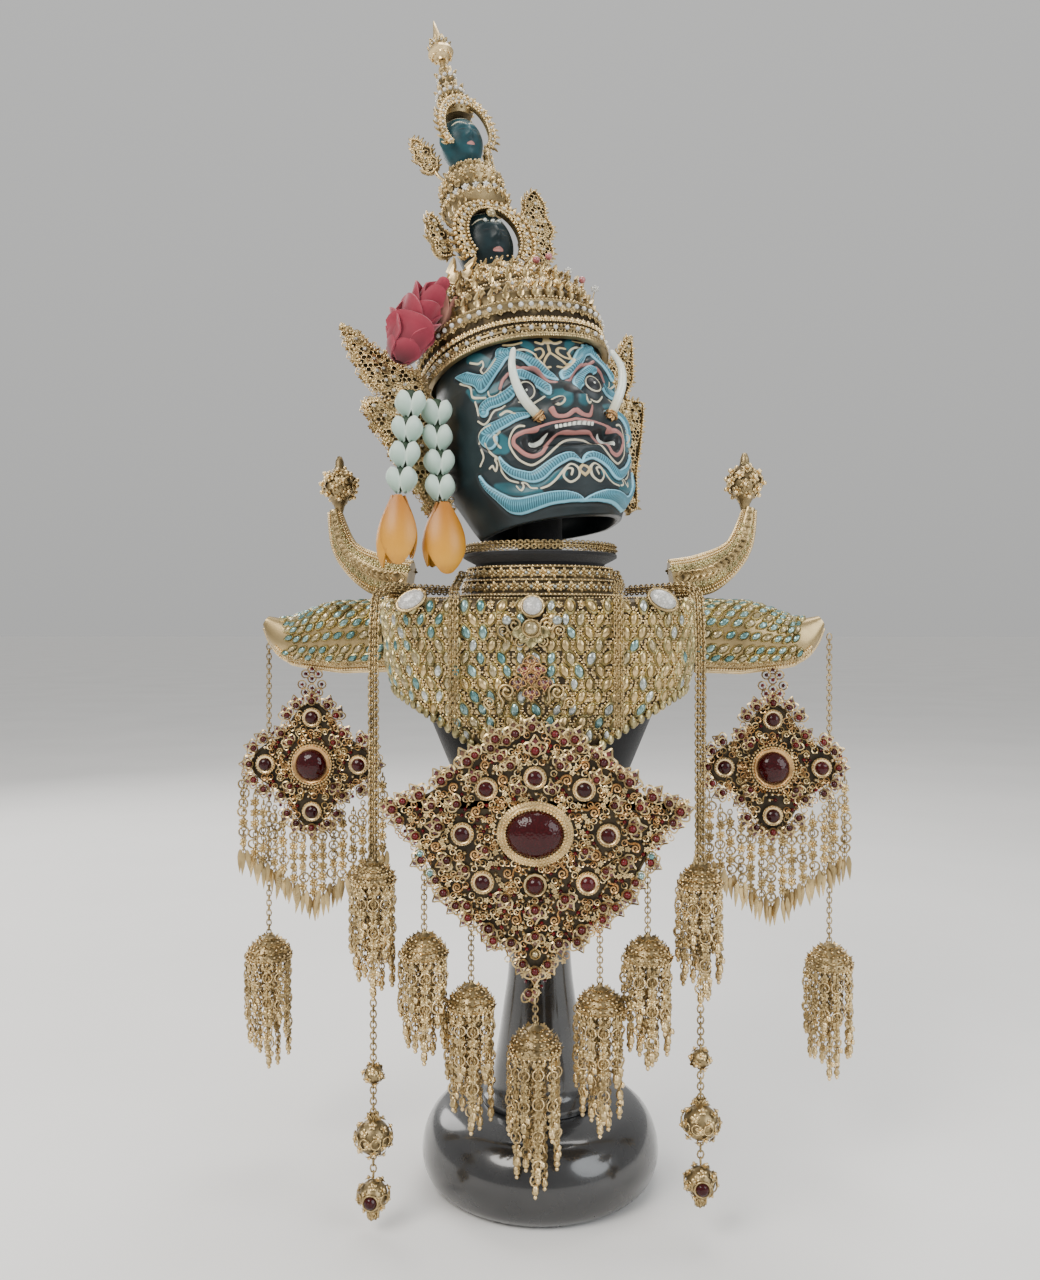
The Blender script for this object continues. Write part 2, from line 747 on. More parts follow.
def gem_tone():
    """Cut stones of one kind that differ a little: some lighter, some almost gold from their foil."""
    tree, given, out = new_tree(
        "Stone tone",
        "ShaderNodeTree",
        [
            ("Deep", COLOUR, (0.03, 0.002, 0.004, 1)),
            ("Light", COLOUR, (0.2, 0.01, 0.02, 1)),
            ("Foil", COLOUR, (0.4, 0.3, 0.14, 1)),
            ("Foil Share", NUMBER, 0.2),
        ],
        [("Color", COLOUR), ("Height", NUMBER)],
    )
    tone = attribute(tree, "tone")
    body = mixed(tree, tone, given["Deep"], given["Light"])
    again = maths(tree, "FRACT", maths(tree, "MULTIPLY", tone, 7.3))
    bare = maths(tree, "LESS_THAN", again, given["Foil Share"])
    place = add(tree, "ShaderNodeTexCoord").outputs["Object"]
    cut = add(tree, "ShaderNodeTexVoronoi", {"Vector": place, "Scale": 900.0})
    glint = map_range(tree, cut.outputs["Distance"], 0.1, 0.6, 1.25, 0.75)
    tree.links.new(scaled(tree, mixed(tree, bare, body, given["Foil"]), glint), out["Color"])
    tree.links.new(cut.outputs["Distance"], out["Height"])


def painted_line():
    """A painted shape with a crisp edge, from a distance in millimetres kept on the surface."""
    tree, given, out = new_tree(
        "Painted shape",
        "ShaderNodeTree",
        [("Distance", NUMBER, 0.0), ("Edge", NUMBER, 0.0), ("Soft", NUMBER, 0.12)],
        [("Mask", NUMBER)],
    )
    low = maths(tree, "SUBTRACT", given["Edge"], given["Soft"])
    high = maths(tree, "ADD", given["Edge"], given["Soft"])
    tree.links.new(map_range(tree, given["Distance"], low, high, 1.0, 0.0), out["Mask"])


PAINT_BLACK, PAINT_WHITE = (0.006, 0.007, 0.009), (0.72, 0.74, 0.66)


def rgba(value):
    """A colour ready for a socket, or the output that gives one."""
    if isinstance(value, bpy.types.NodeSocket) or len(value) == 4:
        return value
    return (*value, 1)


class Finish:
    """One material under its maker's name, with plain values set on the shader itself."""

    def __init__(self, name, **plain):
        self.material = bpy.data.materials.new(name)
        self.material.use_nodes = True
        self.tree = self.material.node_tree
        self.shader = self.tree.nodes["Principled BSDF"]
        for key, value in plain.items():
            self.shader.inputs[key.replace("_", " ")].default_value = value

    def group(self, name, **values):
        node = add(self.tree, "ShaderNodeGroup", node_tree=bpy.data.node_groups[name])
        for key, value in values.items():
            socket = node.inputs[key.replace("_", " ")]
            if isinstance(value, bpy.types.NodeSocket):
                self.tree.links.new(value, socket)
            else:
                socket.default_value = value if isinstance(value, (int, float)) else rgba(value)
        return node.outputs

    def set(self, label, output):
        self.tree.links.new(output, self.shader.inputs[label])
        return self

    def bump(self, height, strength, distance):
        node = add(
            self.tree, "ShaderNodeBump", {"Height": height, "Strength": strength, "Distance": distance}
        )
        return self.set("Normal", node.outputs[0])

    def fade(self, factor, a, b):
        return mixed(self.tree, factor, rgba(a), rgba(b))


def metal(name, bright, dark, scale=90.0, wear=0.4, metallic=0.9):
    finish = Finish(name, Metallic=metallic)
    made = finish.group("Aged metal", Bright=bright, Dark=dark, Scale=scale, Wear=wear)
    finish.set("Base Color", made["Color"]).set("Roughness", made["Roughness"])
    finish.bump(made["Height"], 0.25, 0.00015)


def stones(
    name, deep, light, foil=(0.4, 0.3, 0.14), share=0.0, metallic=0.0, roughness=0.06, coat=0.6, gloss=0.5
):
    finish = Finish(
        name, Metallic=metallic, Roughness=roughness, Coat_Weight=coat, Coat_Roughness=0.03,
        Specular_IOR_Level=gloss,
    )
    made = finish.group("Stone tone", Deep=deep, Light=light, Foil=foil, Foil_Share=share)
    finish.set("Base Color", made["Color"]).bump(made["Height"], 0.35, 0.0003)


def soft_surface(name, light, dark, scale, patch, strength, distance, **plain):
    finish = Finish(name, **plain)
    made = finish.group("Fine grain", Scale=scale, Patch=patch)
    finish.set(
        "Base Color", finish.fade(made["Mask"], dark, light)
    ).bump(made["Height"], strength, distance)
    return finish


def shaded_petals(name, root, tip, edge, grain_scale, **plain):
    """Petals that change colour from root to tip, by the share along the petal kept on the mesh."""
    finish = Finish(name, **plain)
    tree = finish.tree
    made = finish.group("Fine grain", Scale=grain_scale, Patch=90.0)
    along = attribute(tree, "along")
    body = finish.fade(map_range(tree, along, 0.1, 0.8), root, tip)
    veins = noise(tree, 700.0, 1.0)
    rim = maths(tree, "MULTIPLY", map_range(tree, attribute(tree, "rim"), 0.6, 1.0), veins)
    toned = finish.fade(rim, body, edge)
    cloud = finish.fade(map_range(tree, made["Mask"], 0.0, 1.0, 0.0, 0.22), toned, root)
    finish.set("Base Color", cloud).bump(made["Height"], 0.3, 0.0002)


def face_finish(paint):
    """The ogre face: dark lacquer with striped blue rolls, teal leaves and lines in cream, pink and gold."""
    finish = Finish(
        "Face paint", Roughness=0.42, Coat_Weight=0.1, Coat_Roughness=0.25, Specular_IOR_Level=0.35
    )
    tree = finish.tree
    made = finish.group("Fine grain", Scale=500.0, Patch=60.0)
    ground = finish.fade(made["Mask"], paint.ground, dimmed(paint.ground, 2.2))
    teal = finish.fade(made["Mask"], paint.teal, dimmed(paint.teal, 0.55))
    spread = attribute(tree, "teal")
    colour = mixed(tree, finish.group("Painted shape", Distance=spread, Soft=0.5)["Mask"], ground, teal)
    roll = attribute(tree, "blue")
    band = finish.group("Painted shape", Distance=roll)["Mask"]
    waves = maths(tree, "SINE", maths(tree, "MULTIPLY", attribute(tree, "along"), 2 * pi / 1.25))
    stripe = map_range(tree, waves, -0.35, 0.35)
    inside = finish.group("Painted shape", Distance=roll, Edge=-0.75)["Mask"]
    shade = map_range(tree, roll, -3.0, -0.5)
    blue = finish.fade(shade, paint.roll, dimmed(paint.roll, 0.62))
    lined = mixed(tree, stripe, (*dimmed(paint.roll, 0.28), 1), blue)
    pale = (*[min(1, c * 1.25 + 0.1) for c in paint.roll], 1)
    rolls = mixed(tree, inside, pale, lined)
    colour = mixed(tree, band, colour, rolls)
    for label, tint in (
        ("pink", paint.pink), ("cream", paint.cream), ("gold", paint.gold), ("black", PAINT_BLACK),
        ("white", PAINT_WHITE),
    ):
        mask = finish.group("Painted shape", Distance=attribute(tree, label))["Mask"]
        colour = mixed(tree, mask, colour, (*tint, 1))
    dirt = map_range(tree, add(tree, "ShaderNodeNewGeometry").outputs["Pointiness"], 0.44, 0.5, 0.35, 1.0)
    finish.set("Base Color", scaled(tree, colour, dirt)).bump(made["Height"], 0.12, 0.0002)


def build_finishes(paint, gilding, stage):
    for group in (aged_metal, grain, gem_tone, painted_line):
        group()
    bright, dark, wear = tuple(gilding.bright), tuple(gilding.dark), gilding.wear
    warm = (bright[0] * 1.02, bright[1] * 0.83, bright[2] * 0.72)
    metal("Aged gold", bright, dark, wear=wear)
    metal("Pale gold", tuple(min(1, c * 1.35 + 0.06) for c in bright), dark, wear=wear * 0.7)
    metal("Copper gold", warm, (dark[0] * 1.2, dark[1] * 0.6, dark[2] * 0.6), wear=wear)
    metal(
        "Green gold", (bright[0] * 0.82, bright[1] * 0.94, bright[2] * 0.95),
        (dark[0] * 0.8, dark[1], dark[2]), wear=wear * 1.2,
    )
    metal("Wing gold", dimmed(bright, 0.95), dark, 50.0, wear * 0.6)
    metal("Gilded relief", dimmed(bright, 0.62), dimmed(dark, 0.5), 60.0, wear * 1.3, 0.75)
    metal("Dark filigree ground", (0.1, 0.07, 0.035), (0.016, 0.012, 0.007), 120.0, 0.5, 0.6)
    stones("Garnet", (0.02, 0.0008, 0.0015), (0.075, 0.002, 0.004), roughness=0.09, coat=0.0, gloss=0.32)
    stones(
        "Garnet beads", (0.035, 0.001, 0.003), (0.13, 0.005, 0.008), roughness=0.12, coat=0.0, gloss=0.35
    )
    stones("Red enamel", (0.05, 0.006, 0.009), (0.17, 0.016, 0.02), (0.16, 0.07, 0.03), 0.25, roughness=0.3)
    stones("Teal stones", (0.06, 0.2, 0.2), (0.3, 0.46, 0.44), (0.42, 0.34, 0.18), 0.3, 0.55, 0.1)
    stones("Clear stones", (0.34, 0.38, 0.36), (0.7, 0.72, 0.66), (0.42, 0.34, 0.18), 0.35, 0.5, 0.1)
    stones("White stones", (0.5, 0.5, 0.47), (0.82, 0.8, 0.74), roughness=0.12)
    stones("Pink stone", (0.42, 0.12, 0.13), (0.6, 0.25, 0.24))
    stones("Opal", (0.5, 0.5, 0.47), (0.74, 0.68, 0.66), roughness=0.16)
    stones("Night crystal", (0.006, 0.012, 0.03), (0.05, 0.1, 0.18), metallic=0.3)
    lacquer = soft_surface(
        "Black lacquer", (0.02, 0.02, 0.021), (0.009, 0.009, 0.01), 90.0, 30.0, 0.04, 0.0004,
        Coat_Weight=0.7, Coat_Roughness=0.08,
    )
    made = lacquer.group("Fine grain", Scale=300.0, Patch=70.0)
    lacquer.set("Roughness", map_range(lacquer.tree, made["Mask"], 0.0, 1.0, 0.16, 0.34))
    velvet = soft_surface(
        "Black velvet", (0.014, 0.014, 0.015), (0.006, 0.006, 0.007), 1800.0, 45.0, 0.5, 0.0005,
        Roughness=0.95,
    )
    velvet.shader.inputs["Sheen Weight"].default_value = 0.25
    velvet.shader.inputs["Sheen Roughness"].default_value = 0.45
    face_finish(paint)
    back = soft_surface(
        "Helmet lacquer", dimmed(paint.ground, 1.6), dimmed(paint.ground, 0.7), 260.0, 35.0, 0.08, 0.0004,
        Roughness=0.38, Coat_Weight=0.3,
    )
    back.shader.inputs["Coat Roughness"].default_value = 0.2
    shaded_petals(
        "Rose petals", (0.08, 0.003, 0.01), (0.27, 0.013, 0.036), (0.4, 0.045, 0.075), 1500.0,
        Roughness=0.75, Sheen_Weight=0.3,
    )
    shaded_petals(
        "Rose sepal", (0.08, 0.05, 0.03), (0.34, 0.13, 0.1), (0.42, 0.2, 0.14), 1200.0, Roughness=0.7
    )
    shaded_petals(
        "Crown flower", (0.3, 0.44, 0.36), (0.52, 0.64, 0.56), (0.7, 0.76, 0.68), 900.0, Roughness=0.5
    )
    shaded_petals(
        "Champak petals", (0.4, 0.14, 0.008), (0.62, 0.29, 0.018), (0.3, 0.12, 0.012), 800.0, Roughness=0.42
    )
    soft_surface(
        "Garland green", (0.03, 0.06, 0.03), (0.012, 0.03, 0.014), 900.0, 120.0, 0.3, 0.0003, Roughness=0.6
    )
    ivory = Finish(
        "Shell white", Roughness=0.22, Coat_Weight=0.4, Coat_Roughness=0.1, Subsurface_Weight=0.08
    )
    along = attribute(ivory.tree, "along")
    made = ivory.group("Fine grain", Scale=700.0, Patch=90.0)
    body = ivory.fade(map_range(ivory.tree, along, 0.0, 0.35), (0.4, 0.34, 0.2), (0.74, 0.78, 0.7))
    ivory.set(
        "Base Color",
        ivory.fade(map_range(ivory.tree, made["Mask"], 0.0, 1.0, 0.0, 0.25), body, (0.5, 0.5, 0.4)),
    )
    ivory.bump(made["Height"], 0.06, 0.0002)
    for name, share in (("Small head paint", 0.6), ("Dark head paint", 0.14)):
        small = Finish(name, Roughness=0.45, Specular_IOR_Level=0.3)
        made = small.group("Fine grain", Scale=800.0, Patch=120.0)
        colour = small.fade(made["Mask"], dimmed(paint.teal, share * 0.4), dimmed(paint.teal, share))
        for label, tint in (("cream", paint.cream), ("pink", paint.pink), ("black", PAINT_BLACK)):
            mask = small.group("Painted shape", Distance=attribute(small.tree, label), Soft=0.08)["Mask"]
            colour = mixed(small.tree, mask, colour, (*tint, 1))
        small.set("Base Color", colour).bump(made["Height"], 0.1, 0.0002)
    soft_surface(
        "Studio floor", tuple(stage.floor), dimmed(stage.floor, 0.94), 120.0, 4.0, 0.05, 0.001,
        Roughness=0.7,
    )


# Stage and stand


def build_stage(settings):
    scene = bpy.context.scene
    for name in ("Cube", "Light", "Camera"):
        if name in bpy.data.objects:
            bpy.data.objects.remove(bpy.data.objects[name])
    corners = [(-30, -30), (30, -30), (30, 30), (-30, 30)]
    floor = new_object(
        "studio_floor", *rings_mesh([[(x, y, z) for x, y in corners] for z in (-0.01, 0)]), scale=1.0
    )
    floor.data.materials.append(bpy.data.materials["Studio floor"])
    for name, at, size, power, tint in (
        ("key_light", (-0.75, -1.0, 1.25), 0.9, 1.0, (1.0, 0.96, 0.9)),
        ("fill_light", (1.15, -0.8, 0.75), 1.1, 0.62, (0.93, 0.97, 1.0)),
        ("top_light", (0.1, 0.35, 1.6), 1.0, 0.6, (1.0, 0.98, 0.95)),
        ("rim_light", (-0.9, 0.95, 0.8), 0.8, 0.35, (1.0, 0.98, 0.95)),
    ):
        light = bpy.data.lights.new(name, "AREA")
        light.shape = "DISK"
        light.size = size
        light.energy = settings.light * power
        light.color = tint
        lamp = bpy.data.objects.new(name, light)
        lamp.location = at
        aim = Vector((0, 0, 0.28)) - Vector(at)
        lamp.rotation_euler = aim.to_track_quat("-Z", "Y").to_euler()
        scene.collection.objects.link(lamp)
    world = scene.world or bpy.data.worlds.new("Studio")
    scene.world = world
    world.use_nodes = True
    tree = world.node_tree
    background = tree.nodes["Background"]
    direction = add(tree, "ShaderNodeTexCoord").outputs["Generated"]
    height = add(tree, "ShaderNodeSeparateXYZ", {0: direction}).outputs["Z"]
    share = map_range(tree, height, 0.0, 0.55, settings.horizon, 1.0)
    tree.links.new(scaled(tree, tuple(settings.backdrop), share), background.inputs["Color"])
    background.inputs["Strength"].default_value = settings.ambient
    lens = bpy.data.cameras.new("photograph_view")
    lens.sensor_fit = "VERTICAL"
    lens.sensor_height = 36
    lens.lens = 36 * PHOTO_FOCAL / PHOTO_HEIGHT
    lens.shift_y = (PHOTO_HORIZON - PHOTO_HEIGHT / 2) / PHOTO_HEIGHT
    lens.clip_start = 0.01
    camera = bpy.data.objects.new("photograph_view", lens)
    camera.location = (0.0181, -0.5368, 0.272)
    camera.rotation_euler = (pi / 2, 0, math.radians(3))
    scene.collection.objects.link(camera)
    scene.camera = camera


def spaced(points, steps=5):
    """A smoother row of profile points."""
    return [(p.x, p.y) for p in curve_points([(a, b, 0) for a, b in points], steps)]


def build_stand():
    foot = spaced(
        [
            (48.6, 0.0), (52.5, 1.2), (56.2, 5.0), (58.3, 11), (58.4, 17), (56.8, 24), (53.4, 30.5),
            (48.5, 34.8), (43.5, 36.6), (38.0, 37.6),
        ]
    )
    foot = [(0.001, 0), (44, 0)] + foot + [(36.5, 37.9), (0.001, 38)]
    turned("stand_foot", foot, "Black lacquer", "black_lacquer", ["stand_base"], 96)
    column = [(0.001, 38.3), (28.9, 38.3), (29, 39.2), (28.6, 41.2), (25.4, 43.6), (24, 45.6), (23.6, 50)]
    column += spaced(
        [(23.2, 53), (21.2, 64), (18.2, 84), (16, 100), (14.8, 120), (14, 140), (14, 149.9)], 4
    )
    column += [(0.001, 149.9)]
    turned("stand_pillar", column, "Black lacquer", "black_lacquer", ["stand_column"], 64)
    levels = [
        (150.3, 19.8, 18.1), (152, 22, 20), (165, 27, 23), (176, 32.2, 25.9), (203, 45, 31),
        (229, 55.8, 35.9), (243, 59.6, 36.4), (258, 61.8, 36.4), (264, 61, 36.2),
    ]
    levels += [
        (270, 56.5, 35.6), (275.5, 46, 34.5), (279.3, 36.5, 33), (281, 32.6, 32.2), (286, 32, 32),
        (301, 32, 32), (303, 32.2, 32.2), (305, 36.2, 36.2), (306.2, 38.3, 38.3), (307.6, 38.3, 38.3),
        (308, 37.6, 37.6),
    ]
    rings = [ellipse_ring(a, b, z, 72) for z, a, b in levels]
    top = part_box("bust_form")[1].z / MM
    rings += [
        ellipse_ring(r, r, z, 72) for r, z in ((12.5, 308), (11, 309.5), (11, top - 0.6), (10.4, top))
    ]
    bust = new_object("velvet_bust", *rings_mesh(rings))
    settle(bust, "black_velvet", ["bust_form"], "Black velvet", 50)
    for material_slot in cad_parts["head_block"].material_slots:
        material_slot.material = bpy.data.materials["Black velvet"]


# Mask

# Shares of the mask's half width, front and back depth at each share of its height, chin to top
LEVELS = np.array(
    [
        (-1.1, 0.7, 0.8, 0.62),
        (-0.86, 0.82, 0.92, 0.78),
        (-0.5, 0.98, 0.99, 0.92),
        (-0.1, 1, 1, 1),
        (0.4, 0.96, 0.99, 1),
        (0.72, 0.9, 0.96, 0.96),
        (0.94, 0.84, 0.87, 0.9),
        (1.06, 0.72, 0.74, 0.77),
        (1.16, 0.54, 0.56, 0.57),
        (1.23, 0.3, 0.3, 0.31),
        (1.255, 0.05, 0.05, 0.05),
    ]
)


def mask_plan(z):
    z = np.asarray(z, float)
    share = np.where(z < 0, -z / MASK_CHIN, z * 1.255 / DOME_TOP)
    w, f, b = (np.interp(share, LEVELS[:, 0], LEVELS[:, k]) for k in (1, 2, 3))
    return w * MASK_HALF_WIDTH, f * MASK_HALF_DEPTH, b * MASK_HALF_DEPTH * MASK_BACK


def face_relief(x, z):
    X = np.abs(x + 2.4) / MASK_HALF_WIDTH
    Z = z / MASK_HALF_WIDTH

    def swell(cx, cz, wx, wz):
        return np.exp(-(((X - cx) / wx) ** 2) - ((Z - cz) / wz) ** 2)

    brow = np.exp(-(((Z - 0.5 + 0.9 * (X - 0.42) ** 2) / 0.085) ** 2)) * smooth(X, 0.08, 0.2)
    nose = 0.24 * swell(0, 0.03, 0.15, 0.2) + 0.109 * swell(0.17, -0.03, 0.1, 0.09)
    eye = 0.109 * swell(0.42, 0.22, 0.15, 0.15) - 0.054 * swell(0.42, 0.22, 0.27, 0.27)
    cheek = 0.087 * swell(0.6, -0.14, 0.22, 0.17)
    muzzle = 0.152 * swell(0, -0.36, 0.52, 0.3)
    slit = np.exp(-(((Z + 0.4 - 0.22 * X * X) / 0.07) ** 4))
    mouth = -0.12 * slit * (1 - smooth(X, 0.4, 0.52))
    chin = 0.13 * swell(0, -0.78, 0.34, 0.16)
    jaw = 0.076 * np.exp(-(((Z + 0.98 - 0.32 * X * X) / 0.1) ** 2))
    return MASK_HALF_WIDTH * (0.06 * brow + nose + eye + cheek + muzzle + mouth + chin + jaw)


def mask_surface(angle, z, inset=0.0, carved=0.0, lift=0.0):
    """Points of the mask for arrays of angle and height; carved 1 gives the face its relief."""
    w, f, b = mask_plan(z)
    s, c = np.sin(angle), np.cos(angle)
    depth = np.where(c > 0, f, b)
    k = 2 / lerp(2, PLAN_POWER, smooth(c, -0.3, 0.3))
    x = (w - inset) * np.sign(s) * np.abs(s) ** k
    y = -(depth - inset) * np.sign(c) * np.abs(c) ** k
    share = smooth(c, 0.15, 0.55) * (1 - smooth(z, RIM_BASE * 0.99, RIM_BASE * 1.22)) * carved
    y = y - face_relief(x, z) * share
    out = lift * (1 - smooth(z, RIM_BASE - 1.5, RIM_BASE))
    return x + out * s, y - out * c, z


# Strokes of the left half of the face: points across (mm along the plan from the middle) and up,
# with the half width of the stroke, or its half widths from end to end
ROLLS = {
    "brow_flame": (
        [
            (-56.5, 28), (-49, 24.5), (-43.5, 20), (-40, 17), (-36.5, 19), (-31.5, 23.5), (-26.5, 28),
            (-22, 29.5),
        ],
        [0.3, 3, 3.6, 3.6, 3.4, 3.2, 3, 2.6],
    ),
    "brow": (
        [(-27, 30), (-21, 28), (-17, 26), (-13, 22), (-9, 18.5), (-5.5, 15), (-3.5, 11.5)],
        [3, 2.6, 2.6, 2.6, 2.4, 2, 0.4],
    ),
    "lid": (
        [(-23, 17.5), (-19, 17), (-15, 14.5), (-11.5, 12), (-9, 9), (-8.5, 4.5)], [1.5, 2.6, 3, 3, 2.4, 0.5]
    ),
    "temple": (
        [(-23.5, 10.5), (-27.5, 8), (-32.5, 7), (-37, 7), (-40.5, 5.5), (-41, 3.5)], [2.2, 3, 3, 3, 3, 2.6]
    ),
    "moustache": (
        [(-21, -4.5), (-27, -4.5), (-32.5, -5.5), (-37, -6), (-41, -6.5), (-43.5, -8.5), (-41.5, -11.5)],
        [1.5, 2.4, 2.6, 2.8, 3.2, 4, 3.6],
    ),
    "under_lip": (
        [
            (-38.5, -20), (-37, -24.5), (-34.5, -28), (-30.5, -30.5), (-26, -32.5), (-21.5, -32),
            (-16, -29.5), (-10.5, -27.5), (-6, -27), (-2.5, -30.5),
        ],
        [0.6, 1.8, 2.2, 2.4, 2.6, 2.8, 2.4, 2.2, 1.8, 0.4],
    ),
    "jaw": (
        [
            (-52, -24.5), (-52, -29), (-50.5, -33.5), (-48.5, -37.5), (-45, -41), (-39.5, -43),
            (-33.5, -43.5), (-27.5, -43.5), (-20.5, -43.5), (-13.5, -44), (-7, -45), (-2, -46.5),
        ],
        [0.8, 1.8, 2.6, 3, 3.2, 3.2, 3, 2.8, 2.6, 2.4, 1.6, 0.3],
    ),
}
LINES = {
    "cream": [
        ([(-19, 30), (-14, 29.5), (-10, 26.5), (-9.5, 21), (-5.5, 17.5)], 0.5),
        ([(-53.5, 23.5), (-48.5, 19), (-47, 13.5), (-42, 11.5), (-38.5, 10.5)], 0.5),
        ([(-36.5, 13), (-36, 10.5), (-33, 9.5), (-30, 11)], 0.45),
        (
            [
                (-45.5, 31), (-40.5, 28.5), (-38, 29), (-37.5, 26.5), (-39.5, 24.5), (-38.5, 21.5),
                (-35, 22.5), (-30, 27),
            ],
            0.5,
        ),
        ([(-45, 10.5), (-44.5, 7.5), (-44.5, 3.5)], 0.45),
        ([(-45.5, 0.5), (-43, -2.5), (-40, -1.5), (-37.5, 1), (-35, 2.5), (-32, 2.5), (-29.5, 3.5)], 0.45),
        ([(-33.5, -1), (-29.5, 0), (-27, -3)], 0.7),
        ([(-36.5, -9), (-39, -10.5), (-38.5, -14), (-37, -16)], 0.45),
        ([(-48, -10), (-46.5, -6.5), (-43, -5), (-39.5, -5)], 0.45),
        (
            [
                (-24.5, -10), (-27.5, -9.5), (-30.5, -11), (-32.5, -14.5), (-32, -18), (-30, -22.5),
                (-27.5, -25.5), (-24, -27.5), (-19.5, -26.5), (-15.5, -24.5), (-12.5, -22.5), (-6.5, -18.5),
                (-1.5, -18),
            ],
            0.45,
        ),
        (
            [
                (-44, -12), (-43.5, -15), (-41.5, -18), (-39.5, -20), (-39, -23.5), (-39.5, -26.5),
                (-38, -30.5), (-34, -33),
            ],
            0.45,
        ),
        (
            [
                (-36, -34.5), (-35.5, -37), (-32.5, -35.5), (-32, -33.5), (-30, -34.5), (-29.5, -37),
                (-26.5, -38),
            ],
            0.45,
        ),
        (
            [
                (-24.5, -38.5), (-20, -38), (-15.5, -36), (-11.5, -33), (-7.5, -30.5), (-5, -33),
                (-5.5, -37), (-9.5, -38.5), (-12, -35.5), (-10, -32.5), (-7.5, -33), (-8.5, -35.5),
            ],
            0.45,
        ),
        ([(-45, -23), (-43, -22.5), (-42.5, -25), (-40.5, -23), (-41, -20), (-39, -20.5)], 0.45),
        ([(-9.5, 0.5), (-7.5, 0.5), (-6.5, -2.5), (-8, -3.5), (-9.5, -2)], 0.4),
        ([(-22.5, 3.5), (-18, 1), (-13.5, 2.5), (-10.5, 4)], 0.45),
        ([(-50, -20), (-47, -17), (-47.5, -13)], 0.45),
    ],
    "pink": [
        (
            [(-23, 21.5), (-19.5, 20), (-15.5, 19.5), (-11.5, 18), (-8.5, 14.5), (-6.5, 12), (-4.5, 10.5)],
            0.7,
        ),
        ([(-30, 12.5), (-28, 16), (-24.5, 18.5)], 0.8),
        (
            [
                (-18.5, -12.5), (-24.5, -12.5), (-29.5, -13.5), (-30.5, -16), (-29, -18.5), (-26, -22),
                (-22.5, -24), (-18.5, -23.5), (-16, -21), (-10.5, -16), (-8.5, -15), (-5, -15.5),
                (-2.5, -15.8),
            ],
            [0.9, 0.95, 0.9, 0.75, 0.5],
        ),
        ([(-28, -13), (-23, -12.4), (-18, -11.6), (-11, -10.6), (-5, -10.8), (-2.5, -10.6)], 0.6),
        ([(-10.5, -4), (-9, -7.5), (-5.5, -8.5), (-3, -7)], 0.9),
    ],
    "gold": [
        ([(-9, 29), (-6, 29.5), (-5.5, 26.5), (-9.5, 23), (-9.5, 26.5)], 0.5),
        ([(-2.5, 31), (-2.5, 27.5), (-4.5, 25), (-7.5, 19.5), (-4, 19.5)], 0.5),
        ([(-2.5, 36), (-2.5, 33)], 1.4),
        ([(-8, 33), (-5, 32), (-3.5, 34)], 0.6),
        ([(-2.5, -36.5), (-4.6, -34), (-2.5, -31.5)], 0.6),
        ([(-15, 33.5), (-20, 33), (-25, 34)], 0.5),
    ],
    "black": [
        (
            [(-25, -16.5), (-22, -19.3), (-17, -17.2), (-10, -13.5), (-2.5, -13.2)],
            [2.4, 3.3, 2.7, 1.7, 1.6],
        ),
        ([(-9.2, -1.6), (-7.6, -1.2)], 1.1),
    ],
    "white": [
        ([(-22, -18), (-16.5, -17), (-14.5, -15.5), (-13.5, -14.5)], [1.3, 1.1, 0.8, 0.3]),
    ],
    "teal": [
        ([(-38, -14), (-35, -16)], [4.5, 3.5]),
        ([(-33, -1), (-27, -1), (-22, -1.5)], [2, 2.6, 1.6]),
        ([(-50, 17), (-44, 13), (-38, 12), (-30, 14)], [1, 3, 3, 2]),
        ([(-46, -33), (-40, -35), (-33, -38.5), (-26, -40)], [3, 3.5, 2.5, 1.5]),
        ([(-35, 27), (-40, 31), (-46, 33)], [2.5, 3, 2]),
        ([(-12, -34), (-20, -35), (-28, -36)], [2, 2, 2]),
        ([(-15, 24), (-11, 30), (-14, 33)], [1.5, 2, 2]),
        ([(-10, 7), (-7, 3), (-5.5, -3)], [1.5, 3, 2]),
    ],
}
EYES = ((-18.5, 8.0), (13.5, 11.2))


def mirrored_point(u, z):
    m = -5 - u
    return m, z + 0.09 * (m + 2.5) * max(-0.6, min(1, (z + 5) / 10))


def both_sides(points, widths):
    fine = curve_points([(u, z, 0) for u, z in points], 4)
    t = np.linspace(0, 1, len(fine))
    if isinstance(widths, (int, float)):
        half = np.full(len(fine), float(widths))
    else:
        half = np.interp(t, np.linspace(0, 1, len(widths)), widths)
    left = [(p.x, p.y) for p in fine]
    return (np.array(left), half), (np.array([mirrored_point(*p) for p in left]), half)


def stroke_distance(line, half, u, z, best, along=None):
    """Keeps the least distance, less the stroke's half width, and how far along the stroke it is."""
    length = 0.0
    low, high = line.min(0) - half.max() - 6, line.max(0) + half.max() + 6
    near = np.nonzero((u > low[0]) & (u < high[0]) & (z > low[1]) & (z < high[1]))[0]
    pu, pz, keep = u[near], z[near], best[near]
    run = along[near] if along is not None else None
    for i in range(len(line) - 1):
        a, b = line[i], line[i + 1]
        span = b - a
        size = float(np.hypot(*span)) or 1e-6
        t = np.clip(((pu - a[0]) * span[0] + (pz - a[1]) * span[1]) / size**2, 0, 1)
        d = np.hypot(pu - a[0] - span[0] * t, pz - a[1] - span[1] * t) - lerp(half[i], half[i + 1], t)
        closer = d < keep
        keep = np.where(closer, d, keep)
        if run is not None:
            run = np.where(closer, length + size * t, run)
        length += size
    best[near] = keep
    if run is not None:
        along[near] = run


